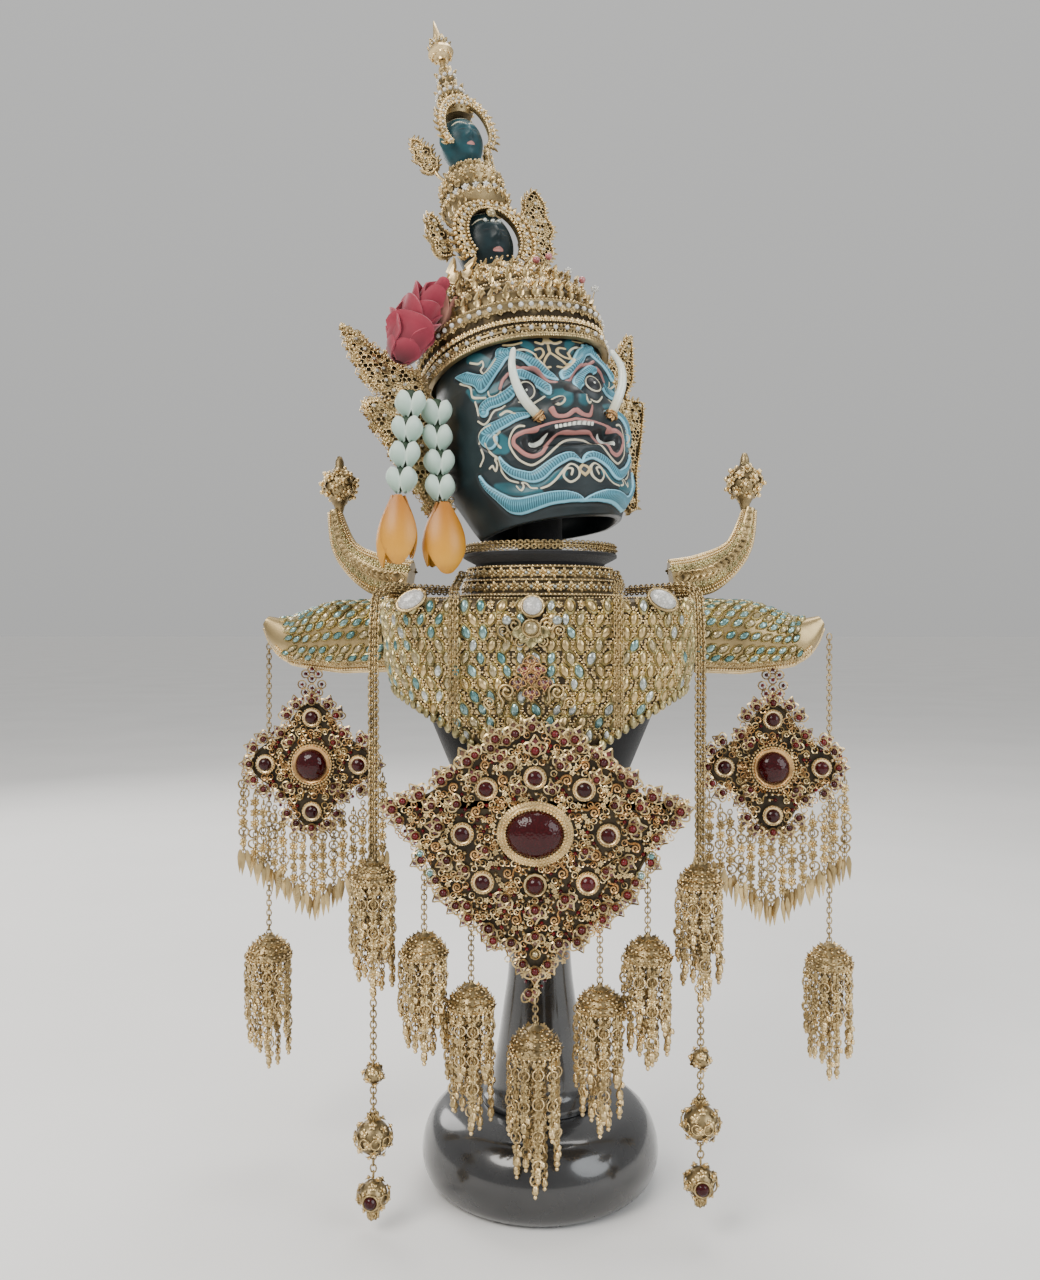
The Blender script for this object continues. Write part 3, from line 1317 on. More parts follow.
def build_face(settings):
    columns, rows = settings.columns, settings.rows
    dense = np.linspace(-70, 70, columns) / 45
    rest = np.linspace(70 / 45, 2 * pi - 70 / 45, 42)[1:-1]
    angles = np.concatenate([dense, rest])
    heights = np.concatenate([
        np.linspace(MASK_CHIN, 36.5, rows), np.array([39, 43, 47, 50, 52, 54, 56, 57.4, 58.4])
    ])
    A, H = np.meshgrid(angles, heights)
    low = 1 - smooth(H, MASK_CHIN, 0)
    Z = H - CHIN_TILT * np.cos(A) * low
    U = np.where(A > pi, A - 2 * pi, A) * 45
    u, z = U.ravel(), Z.ravel()
    fields = {name: np.full(u.shape, 6.0) for name in ("blue", *LINES)}
    along = np.zeros(u.shape)
    for points, half in ROLLS.values():
        for line, width in both_sides(points, half):
            stroke_distance(line, width, u, z, fields["blue"], along)
    for name, strokes in LINES.items():
        for points, half in strokes:
            for line, width in both_sides(points, half):
                stroke_distance(line, width, u, z, fields[name])
    for cu, cz in EYES:
        d = np.hypot(u - cu, (z - cz) * 1.05)
        fields["cream"] = np.where(d < 6.2, np.maximum(fields["cream"], 0.5), fields["cream"])
        fields["blue"] = np.where(d < 5.4, 3.0, fields["blue"])
        fields["cream"] = np.minimum(fields["cream"], np.abs(d - 4.4) - 0.42)
        fields["black"] = np.minimum(fields["black"], np.minimum(d - 4.0, np.abs(d - 5.3) - 0.45))
        fields["white"] = np.minimum(fields["white"], np.hypot(u - cu, z - cz) - 0.55)
    for k in range(9):
        tooth = np.maximum(np.abs(u + 10 - 1.75 * k) - 0.66, np.abs(z + 12.6 - 0.06 * k) - 0.75)
        fields["white"] = np.minimum(fields["white"], tooth)
    snout = np.hypot(u + 1.2, (z - 3.4) / 1.15)
    fields["black"] = np.minimum(fields["black"], snout - 3.5)
    roll = fields["blue"]
    lift = 2.1 * np.sqrt(np.clip(-roll / 3.0, 0, 1)) - 0.5 * np.exp(-(((roll - 0.55) / 0.5) ** 2))
    for name, height in (("cream", 0.35), ("pink", 0.7), ("gold", 0.4), ("white", 0.5)):
        lift += height * (1 - smooth(fields[name], -0.45, 0.15))
    lift -= 0.9 * (1 - smooth(fields["black"], -0.8, 0.3)) * (z < -9)
    lift *= smooth(np.cos(A).ravel(), -0.1, 0.25)
    x, y, zz = mask_surface(A.ravel(), z, 0.0, 1.0, lift)
    n = len(angles)
    outer = np.stack([x, y, zz], 1)
    inner = []
    for level in (DOME_TOP * 0.93, DOME_TOP * 0.8, DOME_TOP * 0.34, MASK_CHIN * 0.51, MASK_CHIN):
        at = np.full(n, level) - CHIN_TILT * np.cos(angles) * (1 - smooth(level, MASK_CHIN, 0))
        inner.append(np.stack(mask_surface(angles, at, 3.0), 1))
    verts = np.concatenate([*inner, outer])
    total = len(inner) + len(heights)
    faces = grid_faces(total, n) + [tuple(range(n))[::-1], tuple(range((total - 1) * n, total * n))]
    obj = new_object("painted_mask", [tuple(v) for v in verts], faces, place=MASK)
    mesh = obj.data
    skipped = len(inner) * n
    for name, values in {**fields, "along": along}.items():
        keep_values(obj, np.concatenate([np.full(skipped, 6.0), values]), name)
    settle(obj, "painted_papier", ["mask_shell"], "Face paint")
    mesh.materials.append(bpy.data.materials["Helmet lacquer"])
    lacquered = np.zeros(len(mesh.polygons), dtype=np.int32)
    lacquered[:skipped] = 1
    lacquered[-2] = 1
    mesh.polygons.foreach_set("material_index", lacquered)


def keep_values(obj, values, name="along"):
    """Keeps one number at each point of the mesh, for the materials to read."""
    layer = obj.data.attributes.new(name, "FLOAT", "POINT")
    layer.data.foreach_set("value", np.asarray(values, dtype=np.float32))
    return obj


def build_tusks():
    stations = [
        (0.415, 0.04, -0.15), (0.537, 0.05, 0.02), (0.618, 0.09, 0.19), (0.635, 0.118, 0.375),
        (0.565, 0.11, 0.565),
    ]
    m = MASK_HALF_WIDTH
    for side, word in SIDES:
        path = curve_points([(side * m * a, -MASK_HALF_DEPTH - m * f, m * up) for a, f, up in stations], 8)
        n = len(path)
        radii = [2.3 * (1 - 0.5 * (i / (n - 1)) ** 2.2) for i in range(n - 2)] + [0.85, 0.3]
        obj = new_object("tusk_" + word, *tube_mesh(path, radii, 16), place=MASK)
        keep_values(obj, [i // 16 / (n - 1) for i in range(n * 16)])
        settle(obj, "shell_white", ["tusk_" + word], "Shell white", 60)
        collar = Spots(MASK)
        start, ahead = path[0], (path[2] - path[0]).normalized()
        for reach, size in ((0.4, 3.1), (1.5, 2.9)):
            collar.add(start + ahead * reach, ahead, (0, 1, 0), size)
        collar.build("tusk_socket_" + word, "loop", "Copper gold", "gilt_brass")
        petals = Spots(MASK)
        side_of = ahead.orthogonal().normalized()
        for angle in full_turn(7):
            out = Matrix.Rotation(angle, 3, ahead) @ side_of
            petals.add(start + ahead * 0.2 + out * 2.3, out - ahead * 0.6, -out - ahead * 0.2, 2.6)
        petals.build("tusk_petals_" + word, "petal", "Copper gold", "gilt_brass")


# Crown and small heads


def evenly(points, count=None, spacing=None, closed=True, phase=0.0):
    """Places at equal distances along a line: position and direction of each."""
    pts = [Vector(p) for p in points]
    if closed:
        pts = pts + [pts[0]]
    steps = [0.0]
    for a, b in zip(pts, pts[1:]):
        steps.append(steps[-1] + (b - a).length)
    total = steps[-1]
    count = count or max(2, round(total / spacing) + (0 if closed else 1))
    out, i = [], 0
    for k in range(count):
        s = total * (k + phase) / count if closed else total * k / (count - 1)
        s = min(s, total * 0.99999)
        while i < len(steps) - 2 and steps[i + 1] < s:
            i += 1
        a, b = pts[i], pts[i + 1]
        t = (s - steps[i]) / max(steps[i + 1] - steps[i], 1e-9)
        out.append((a.lerp(b, t), (b - a).normalized()))
    return out


def hoop(z, out):
    """The mask's plan at the rim, moved outwards."""
    w, f, b = (float(v) for v in mask_plan(RIM_BASE))
    k = 2 / PLAN_POWER
    pts = []
    for angle in full_turn(144):
        s, c = sin(angle), cos(angle)
        pts.append(Vector((
            (w + out) * signed_power(s, k), -((f if c > 0 else b) + out) * signed_power(c, k), z
        )))
    return pts


def circle_at(r, z, centre=(0, -4.0), n=96):
    return [
        Vector((centre[0] + r * sin(2 * pi * i / n), centre[1] - r * cos(2 * pi * i / n), z))
        for i in range(n)
    ]


def row_on(spots, ring, count, size, lean=0.0, point="up", out=0.0, phase=0.0, lift=0.0):
    """A row of like ornaments round a ring, leaning outwards by some degrees."""
    for p, along in evenly(ring, count, phase=phase):
        outward_dir = along.cross(Vector((0, 0, 1))).normalized()
        tilt = Matrix.Rotation(math.radians(lean), 3, along)
        up = tilt @ Vector((0, 0, 1))
        normal = tilt @ outward_dir
        if normal.dot(outward_dir) < 0:
            normal = -normal
        heading = {"up": up, "down": -up, "along": along}[point]
        spots.add(p + outward_dir * out + Vector((0, 0, lift)), normal, heading, size)


# Radius of the crown's body at each height above the mask's middle
CROWN = [(42.8, 53.8), (42.8, 60.1), (39.8, 67.9), (32.8, 75.6), (22.8, 83.4), (19.0, 89.0)]


def crown_radius(z):
    return float(np.interp(z, [p[1] for p in CROWN], [p[0] for p in CROWN]))


def swept_ring(profile, ring_at, name, material, slot, nodes, place):
    rings = [ring_at(z, out) for out, z in profile]
    obj = new_object(name, *rings_mesh(rings, looped=True), place=place)
    outward(obj.data)
    return settle(obj, slot, nodes, material, 45)


def build_crown():
    profile = [
        (1.4, 34.5), (4.3, 34.5), (4.9, 35.1), (4.9, 36.1), (4.2, 36.6), (4.2, 37.2), (4.9, 37.7),
        (4.9, 38.6), (4.2, 39.1), (3.7, 39.3), (3.6, 46.5), (3.9, 47.8), (4.6, 48.2), (4.9, 49),
        (4.7, 51.4), (5.2, 52), (5.2, 53), (4.6, 53.5), (1.7, 53.5),
    ]
    swept_ring(profile, hoop, "crown_rim_band", "Gilded relief", "gilt_brass", ["crown_rim"], MASK)
    beads, studs, petals, pearls = spot_sets(4, MASK)
    row_on(beads, hoop(39.9, 4.3), 150, 0.75)
    row_on(beads, hoop(36.9, 4.6), 170, 0.55)
    row_on(studs, hoop(43.2, 3.9), 78, 2.1)
    row_on(petals, hoop(46.6, 4.0), 46, 3.6, 14)
    row_on(petals, hoop(40.6, 4.0), 78, 2.0, -8, "down")
    row_on(pearls, hoop(50.2, 5.3), 58, 1.25)
    row_on(beads, hoop(47.9, 4.7), 150, 0.6)
    row_on(beads, hoop(52.6, 5.3), 150, 0.7)
    beads.build("rim_beads", "bead", "Aged gold", "gilt_brass")
    studs.build("rim_studs", "stud", "Pale gold", "gilt_brass")
    band, drops = spot_sets(2, MASK)
    row_on(band, hoop(35.4, 4.7), 118, 1.6)
    row_on(drops, hoop(38.3, 5.0), 46, 1.15)
    row_on(band, hoop(43.2, 4.1), 78, 1.5, phase=0.5)
    band.build("rim_rosettes", "small_rosette", "Aged gold", "gilt_brass", tilt=0.1, seed=6, sharp=50)
    drops.build("rim_clear_stones", "pearl", "White stones", "gilt_brass")
    petals.build("rim_petals", "petal", "Aged gold", "gilt_brass", tilt=0.05, seed=4)
    pearls.build("rim_pearls", "pearl", "White stones", "gilt_brass")
    core = [
        (0.001, 61), (23, 60.6), (38, 53.8), (42.2, 53.8), (42.6, 54.6), (42.2, 58), (42.6, 58.8),
        (41, 60.4), (39.6, 63.5), (40, 64.5), (37.6, 67),
    ]
    core += [
        (35.6, 70), (36, 71), (32.4, 73.5), (30, 76), (30.4, 77), (26, 79.2), (22.8, 81.5), (23, 82.4),
        (19.6, 84.5), (18.6, 88), (18.4, 89), (0.001, 89),
    ]
    turned("crown_core", core, "Gilded relief", "gilt_lacquer", ["crown_body"], 96, MASK, 35, (0, -4.0, 0))
    flames, roses, leaves, beads = spot_sets(4, MASK)
    for z, count, size in ((55.0, 40, 6.4), (66.0, 32, 6.0), (76.0, 24, 5.4), (84.0, 18, 4.6)):
        row_on(flames, circle_at(crown_radius(z) + 0.9, z), count, size, 12)
        row_on(beads, circle_at(crown_radius(z) + 1.0, z - 0.6), count * 3, 0.75)
    for z, count, size in ((62.4, 34, 3.0), (72.2, 28, 2.7), (80.6, 20, 2.4), (87.6, 16, 2.0)):
        row_on(roses, circle_at(crown_radius(z) + 0.9, z), count, size, 38 if z > 65 else 15)
        row_on(beads, circle_at(crown_radius(z) + 1.2, z + 2.6), count * 3, 0.6)
    for z, count, size in ((59.5, 44, 3.6), (69.4, 36, 3.2), (78.4, 28, 2.8)):
        row_on(leaves, circle_at(crown_radius(z) + 0.8, z), count, size, 30)
    flames.build("crown_flames", "flame", "Aged gold", "gilt_lacquer", tilt=0.08, seed=2, sharp=50)
    roses.build("crown_rosettes", "rosette", "Pale gold", "gilt_lacquer", tilt=0.1, seed=3, sharp=50)
    gems = Spots(MASK)
    for z, count in ((62.4, 34), (72.2, 28), (80.6, 20)):
        row_on(gems, circle_at(crown_radius(z) + 1.6, z), count, 0.9)
    gems.build("crown_clear_stones", "pearl", "White stones", "gilt_lacquer")
    leaves.build("crown_petals", "petal", "Aged gold", "gilt_lacquer", tilt=0.06, seed=5)
    beads.build("crown_beads", "bead", "Pale gold", "gilt_lacquer")
    build_sprays()


def build_sprays():
    """Wire sprays with small flowers and stones that stand on the right of the crown."""
    wires, flowers, stones_, leaves = [], Spots(), Spots(), Spots()
    sprays = [
        (4, 2, 437, 4.5, 455), (9.5, 6, 436, 10.5, 446), (14, 9, 434, 14, 450), (20, 14, 431, 21, 447),
        (25, 16, 427, 27.5, 443), (-5, -4, 438, -4, 446), (-1, -2, 438, -1.5, 452),
    ]
    for k, (x, y, z, tip, high) in enumerate(sprays):
        y -= 8
        line = [(x, y + 3, z - 3), (x + 0.6, y + 0.5, lerp(z, high, 0.4)), (tip, y, high)]
        wires.append(tube_mesh(curve_points(line, 6), 0.32, 6))
        for turn in range(3):
            wires.append(tube_mesh(
                [
                    Vector((x + 1.2 * cos(a), y + 1 + 1.2 * sin(a), lerp(z, high, 0.3 + 0.2 * turn)))
                    for a in (2 * pi * j / 10 for j in range(10))
                ],
                0.2, 4, True,
            ))
        spots, size = (stones_, 1.9) if k % 3 == 0 else (flowers, 2.4)
        spots.add((tip, y - 0.4, high), (0, -1, 0.3), (0, 0, 1), size)
    obj = new_object("spray_wires", *joined(wires))
    settle(obj, "gilt_brass", [], "Aged gold")
    flowers.build("spray_flowers", "rosette", "White stones", "gilt_brass")
    stones_.build("spray_stones", "pearl", "Pink stone", "gilt_brass")
    leaves.add((-2, -9, 441), (0, -1, 0.2), (-0.2, 0, 1), 11)
    leaves.add((-41, -14, 440), (-0.3, -1, 0.2), (-0.4, 0, 1), 12)
    leaves.add((-35, -18, 441), (-0.3, -1, 0.2), (0.1, 0, 1), 10)
    leaves.build("spray_leaves", "flame", "Pale gold", "gilt_brass", sharp=40)


def small_head(name, r, middle, tall):
    rows, columns = 56, 72
    t = np.linspace(-0.992, 0.992, rows)[:, None]
    a = (np.arange(columns) / columns * 2 * pi)[None, :]
    w = r * np.sqrt(1 - t * t) * (1 - 0.13 * np.maximum(0, -t))
    x = w * np.cos(a)
    y = w * np.sin(a)
    front = np.maximum(0, -np.sin(a))
    X, T = x / r, t + 0 * x

    def swell(cx, ct, wx, wt):
        return np.exp(-(((np.abs(X) - cx) / wx) ** 2) - ((T - ct) / wt) ** 2)

    depth = 0.17 * swell(0, -0.02, 0.11, 0.17) + 0.06 * swell(0, 0.2, 0.07, 0.2) + 0.07 * swell(
        0.1, -0.1, 0.07, 0.06
    )
    depth += 0.06 * swell(0.3, 0.3, 0.24, 0.07) - 0.07 * swell(
        0.32, 0.14, 0.15, 0.09
    ) + 0.07 * swell(0.32, 0.13, 0.12, 0.05)
    depth += 0.07 * swell(0, -0.34, 0.2, 0.05) + 0.065 * swell(
        0, -0.46, 0.16, 0.05
    ) + 0.06 * swell(0, -0.68, 0.2, 0.1)
    y = y - front * depth * r
    side = 0.09 * r * np.exp(-(((y / r - 0.05) / 0.12) ** 2) - ((T - 0.08) / 0.26) ** 2)
    x = x + np.sign(x) * side
    rings = np.stack([x, y, middle + r * tall * T], -1)
    obj = new_object(
        "small_head_" + name, *rings_mesh([[tuple(v) for v in ring] for ring in rings]), place=MASK
    )
    ax = np.abs(X)
    hidden = np.where(front > 0.1, 0.0, 5.0)
    brow = np.abs(T - 0.36 - 0.12 * np.sin(np.clip(ax - 0.08, 0, 0.6) * 5.2)) * r - 0.3 + 4 * np.clip(
        ax - 0.62, 0, 9
    ) + 4 * np.clip(0.08 - ax, 0, 9)
    lid = np.abs(T - 0.13 + 0.9 * (ax - 0.32) ** 2) * r - 0.22 + 9 * np.clip(np.abs(ax - 0.32) - 0.15, 0, 9)
    lips = np.hypot(X / 0.2, (T + 0.4) / 0.055) * 0.1 * r - 0.1 * r
    hair = (0.72 - T) * r
    keep_values(obj, (np.minimum(brow, np.abs(hair) - 0.3) + hidden).reshape(-1), "cream")
    keep_values(obj, (lips + hidden).reshape(-1), "pink")
    keep_values(obj, (np.minimum(lid, hair) + hidden).reshape(-1), "black")
    paint = "Dark head paint" if name.startswith("middle") else "Small head paint"
    settle(obj, "painted_papier", [name], paint)


def arch_line(r, high, middle, y, n=48, start=-35, end=215):
    """A round arch, taller above its middle than it is wide, whose ends turn in below."""
    turns = [math.radians(lerp(start, end, i / n)) for i in range(n + 1)]
    return [Vector((r * cos(t), y, middle + (r if sin(t) <= 0 else high) * sin(t))) for t in turns]


# Section of an arch: share of the way out, and depth in half thicknesses
ARCH_SECTION = [
    (0, -0.7), (0.1, -1), (0.24, -1), (0.3, -0.55), (0.7, -0.55), (0.76, -1), (0.9, -1), (1, -0.7),
    (1, 0.8), (0, 0.8)
]


def arch_band(inner, outer, thickness):
    half = thickness / 2
    pairs = zip(inner, outer)
    return rings_mesh([
        [a.lerp(b, t) + Vector((0, d * half, 0)) for t, d in ARCH_SECTION] for a, b in pairs
    ])


def build_niches():
    for name, r, R, rise, middle, y, thick, metal_name, slot, size in (
        ("middle_arch", 14.7, 22.5, 17.0, 109.6, -10.8, 4.0, "Gilded relief", "gilt_lacquer", 1.0),
        ("upper_halo", 12.6, 15.4, 17.3, 174.6, -8.4, 3.0, "Aged gold", "gilt_brass", 0.8),
    ):
        inner = arch_line(r + 0.2, rise * 0.96, middle, y)
        outer = arch_line(R, rise * 1.18, middle, y)
        obj = new_object(name + "_frame", *arch_band(inner, outer, thick), place=MASK)
        outward(obj.data)
        settle(obj, slot, [name], metal_name, 40)
        front = Vector((0, -thick / 2 - 0.2, 0))
        beads, flames, roses, gems = spot_sets(4, MASK)
        for line, bead_size in ((inner, 0.95 * size), (outer, 1.25 * size)):
            for p, along in evenly([q + front for q in line], spacing=bead_size * 2.1, closed=False):
                beads.add(p, (0, -1, 0), (0, 0, 1), bead_size)
        middle_line = [a.lerp(b, 0.5) + front for a, b in zip(inner, outer)]
        for p, along in evenly(middle_line, spacing=4.6 * size, closed=False):
            roses.add(p, (0, -1, 0), along, 2.9 * size)
            gems.add(p + Vector((0, -0.7, 0)), (0, -1, 0), (0, 0, 1), 0.9 * size)
        for p, along in evenly(outer, spacing=4.6 * size, closed=False):
            out = Vector((0, 1, 0)).cross(along)
            if out.dot(p - Vector((0, y, middle))) < 0:
                out = -out
            flames.add(p + Vector((0, -0.4, 0)), (0, -1, 0), out + Vector((0, 0, 0.35)), 4.2 * size)
        beads.build(name + "_beads", "bead", "Pale gold", slot)
        roses.build(name + "_rosettes", "rosette", "Aged gold", slot, tilt=0.12, seed=7, sharp=50)
        gems.build(name + "_stones", "pearl", "White stones", slot)
        flames.build(name + "_flames", "flame", "Aged gold", slot, tilt=0.08, seed=8, sharp=50)
    crystals = Spots(MASK)
    for x, z, s in ((0, 122, 2.6), (-4, 118, 1.3), (4, 118, 1.3), (0, 117.5, 1.2)):
        crystals.add((x, -14.0 + abs(x) * 0.12, z), (0, -1, 0.25), (0, 0, 1), s)
    crystals.build("niche_crystals", "cabochon", "Clear stones", "gilt_lacquer", sharp=30)


def tier(name, low, profile, rows, slot, node, base="Gilded relief"):
    """A small turned tier of the crown with its rows of ornament, all measured from its lower edge."""
    turned(name + "_core", [(r, low + z) for r, z in profile], base, slot, [node], 48, MASK, 35)
    for k, (shape, finish, r, z, *row) in enumerate(rows):
        spots = Spots(MASK)
        row_on(spots, circle_at(r, low + z, (0, 0), 48), *row)
        spots.build(f"{name}_{shape}_{k}", shape, finish, slot, tilt=0.06, seed=11 + k)


def build_tiers():
    cap = [(0.001, 0), (14, 0), (15.6, 1.5), (17.6, 4.2), (15.2, 7), (14.2, 8.6), (15.4, 11), (17, 14.6)]
    cap += [(16, 18), (12, 20.4), (10.2, 22), (9.5, 26.6), (0.001, 26.9)]
    rows = [
        ("petal", "Aged gold", 16.6, 2.2, 22, 4.6, 20),
        ("bead", "Pale gold", 17.8, 4.4, 40, 1.0),
        ("rosette", "White stones", 16.2, 7.4, 18, 2.3),
        ("petal", "Aged gold", 14.8, 9.6, 20, 4.2, 26),
        ("drop", "Pale gold", 16.6, 12, 22, 1.7, 10, "down"),
        ("rosette", "Aged gold", 17.0, 15.6, 18, 2.6, 10),
        ("bead", "Pale gold", 15.4, 18.8, 34, 1.0),
        ("petal", "Aged gold", 11.6, 20.6, 16, 4.4, 22),
        ("bead", "Pale gold", 10.2, 26.0, 26, 0.9),
    ]
    tier("middle_cap", 129.8, cap, rows, "gilt_lacquer", "middle_crown")
    low, height = 187.2, 37
    profile, rows = [(0.001, low), (8, low)], []
    for i in range(3):
        z = low + height * (i + 0.3) / 3.4
        r = 11.5 * lerp(0.85, 0.4, i / 2)
        profile += [(r, z), (r, z + 1.2), (r * 0.8, z + 3.2), (r * 0.56, z + 6.0), (r * 0.52, z + 8.2)]
        rows += [
            ("pearl", "White stones", r + 0.2, z + 0.7, max(8, int(r * 2.2)), 1.15),
            ("petal", "Pale gold", r * 0.88, z + 1.8, max(7, int(r * 1.5)), 3.6, 24),
            ("bead", "Pale gold", r * 0.6, z + 6.4, max(8, int(r * 1.7)), 0.8),
            ("drop", "Aged gold", r * 0.95, z - 1.3, max(7, int(r * 1.6)), 1.2, 16, "down"),
        ]
    profile += [(1.8, low + height), (0.001, low + height)]
    tier("spire", 0, profile, rows, "gilt_lacquer", "crown_spire")
    finial = [
        (0.001, 0), (3, 0), (3.2, 1.2), (5.6, 3.2), (7.0, 4.8), (6.4, 6.8), (4.0, 9), (3.4, 10), (3.7, 11)
    ]
    finial += [(2.6, 13), (2.2, 16), (1.3, 20.5), (0.4, 25.6), (0.001, 26)]
    rows = [
        ("petal", "Pale gold", 6.4, 6.4, 11, 4.6, 28, "down"),
        ("petal", "Pale gold", 3.0, 9.4, 8, 4.4, 14),
        ("bead", "White stones", 3.9, 11, 12, 0.8),
        ("flame", "Aged gold", 5.4, 6.6, 9, 3.6, 18),
    ]
    tier("finial", 224.5, finial, rows, "gilt_brass", "crown_finial", "Pale gold")


# Flame leaves and ear ornaments


def inset_outline(outline, amount):
    n = len(outline)
    out = []
    for i in range(n):
        (ax, az), (bx, bz) = outline[i - 1], outline[(i + 1) % n]
        dx, dz = bx - ax, bz - az
        length = math.hypot(dx, dz) or 1
        out.append((outline[i][0] - dz / length * amount, outline[i][1] + dx / length * amount))
    return out


def signed_area(outline):
    return sum(a[0] * b[1] - b[0] * a[1] for a, b in zip(outline, outline[1:] + outline[:1])) / 2


def rimmed_plate(outline, thickness, rim=0.9):
    """A plate in the XZ plane with a raised rim on both faces."""
    if signed_area(outline) < 0:
        outline = outline[::-1]
    half = thickness / 2
    inner = inset_outline(outline, rim)
    field = inset_outline(outline, rim * 1.7)
    loops = [
        (field, -half * 0.35), (inner, -half), (inset_outline(outline, 0.25), -half), (outline, -half * 0.7)
    ]
    loops += [(pts, -y) for pts, y in loops[::-1]]
    rings = [[(x, y, z) for x, z in pts] for pts, y in loops]
    return rings_mesh(rings)


def softened(points, steps=5, tension=0.35):
    """A rounder outline that keeps its points nearly where they are."""
    fine = curve_points([(x, z, 0) for x, z in points], steps, closed=True)
    n = len(points)
    out = []
    for i, p in enumerate(fine):
        a, b = points[i // steps], points[(i // steps + 1) % n]
        t = (i % steps) / steps
        straight = Vector((lerp(a[0], b[0], t), lerp(a[1], b[1], t), 0))
        q = p.lerp(straight, tension)
        out.append((q.x, q.y))
    return out


def leaf_place(at, **turns):
    """A place on the mask, turned by degrees about its own axes in the order given."""
    place = MASK @ Matrix.Translation(at)
    for axis, angle in turns.items():
        place = place @ Matrix.Rotation(math.radians(angle), 4, axis)
    return place


def leaf(
    name, outline, place, thickness, slot, nodes, beads_size, veins, flame_size, metal_name="Aged gold"
):
    edge = softened(outline)
    obj = new_object(name + "_leaf", *rimmed_plate(edge, thickness), place=place)
    outward(obj.data)
    settle(obj, slot, nodes, "Gilded relief", 40)
    beads, flames, gems, curls = spot_sets(4, place)
    line = [Vector((x, 0, z)) for x, z in edge]
    turn = 1 if signed_area(edge) > 0 else -1
    for face in (-1, 1):
        for p, along in evenly(
            [q + Vector((0, face * thickness * 0.5, 0)) for q in line], spacing=beads_size * 2.3
        ):
            inward = Vector((0, -1, 0)).cross(along) * turn
            beads.add(p + inward * beads_size * 0.9, (0, face, 0), (0, 0, 1), beads_size)
    for p, along in evenly(line, spacing=flame_size * 0.82):
        out = -Vector((0, -1, 0)).cross(along) * turn
        flames.add(p - out * flame_size * 0.35, (0, -1, 0), out + Vector((0, 0, 0.9)), flame_size)
    for vein in veins:
        fine = [Vector((p.x, 0, p.y)) for p in curve_points([(x, z, 0) for x, z in vein], 6)]
        for face in (-1, 1):
            for k, (p, along) in enumerate(evenly(fine, spacing=flame_size * 0.75, closed=False)):
                at = p + Vector((0, face * thickness * 0.5, 0))
                if k % 2:
                    gems.add(at, (0, face, 0), along, beads_size * 1.3)
                else:
                    curls.add(at, (0, face, 0), along, flame_size * 0.95)
    rings, roses = spot_sets(2, place)
    chance = random.Random(len(name))
    field, pitch = inset_outline(edge, beads_size * 2.6), 2.5
    row, z = 0, min(p[1] for p in field)
    while z < max(p[1] for p in field):
        x = min(p[0] for p in field) + row % 2 * pitch / 2
        while x < max(p[0] for p in field):
            if inside(field, x, z):
                kind = chance.random()
                for face in (-1, 1):
                    at = Vector((x, face * (thickness * 0.32 + 0.25), z))
                    spots, size = (rings, 1.3) if kind < 0.5 else (roses, 1.65)
                    out = (chance.uniform(-0.3, 0.3), face, 0)
                    spots.add(at, out, (chance.uniform(-1, 1), 0, 1), size)
            x += pitch
        z += pitch * 0.87
        row += 1
    rings.build(name + "_rings", "fine_loop", "Pale gold", slot)
    roses.build(name + "_roses", "small_rosette", metal_name, slot, tilt=0.2, seed=24, sharp=50)
    beads.build(name + "_beads", "bead", "Pale gold", slot)
    flames.build(name + "_flames", "flame", metal_name, slot, tilt=0.12, seed=21, sharp=50)
    gems.build(name + "_stones", "pearl", "White stones", slot)
    curls.build(name + "_petals", "petal", metal_name, slot, tilt=0.05, seed=22)


def flame_outline(width, height, lobes=3):
    edge = []
    for i in range(lobes * 2):
        t = i / (lobes * 2)
        swell = sin(pi * lerp(0.16, 1, t)) ** 0.7 * (1.18 if i % 2 else 0.86)
        edge.append((width / 2 * swell, height * t))
    return [*edge, (0, height), *[(-x, z) for x, z in edge[::-1]]]


def build_leaves():
    for side, height, word in ((-1, 25.0, "left"), (1, 45.0, "right")):
        place = leaf_place((side * 26.25, -5.25, CROWN_TOP + 10.95), Y=side * 10)
        veins = [[(0, 2), (0, height * 0.8)]]
        if side > 0:
            veins += [[(-2, 6), (-6, 14)], [(2, 6), (6, 14)], [(-2, 18), (-5, 26)], [(2, 18), (5, 26)]]
        leaf(
            "crown_leaf_" + word, flame_outline(height * 0.42, height), place, 3.5, "gilt_lacquer",
            ["crown_leaf_" + word], 0.7, veins, 3.6,
        )
        place = leaf_place((side * 16.33, 5.18, 158.2), Z=side * 45, Y=side * 20)
        leaf(
            "upper_leaf_" + word, flame_outline(10, 25), place, 2.5, "gilt_brass", ["upper_leaf_" + word],
            0.6, [[(0, 2), (0, 19)]], 3.2,
        )
        stem = curve_points(
            [
                (side * x, y, z)
                for x, y, z in ((16.6, 5.2, 160.5), (14.8, 4.6, 155), (11, 3.4, 151.5), (8, 2, 150.5))
            ],
            6,
        )
        obj = new_object("upper_stem_" + word, *tube_mesh(stem, [0.9] * len(stem), 8), place=MASK)
        settle(obj, "gilt_brass", [], "Pale gold")


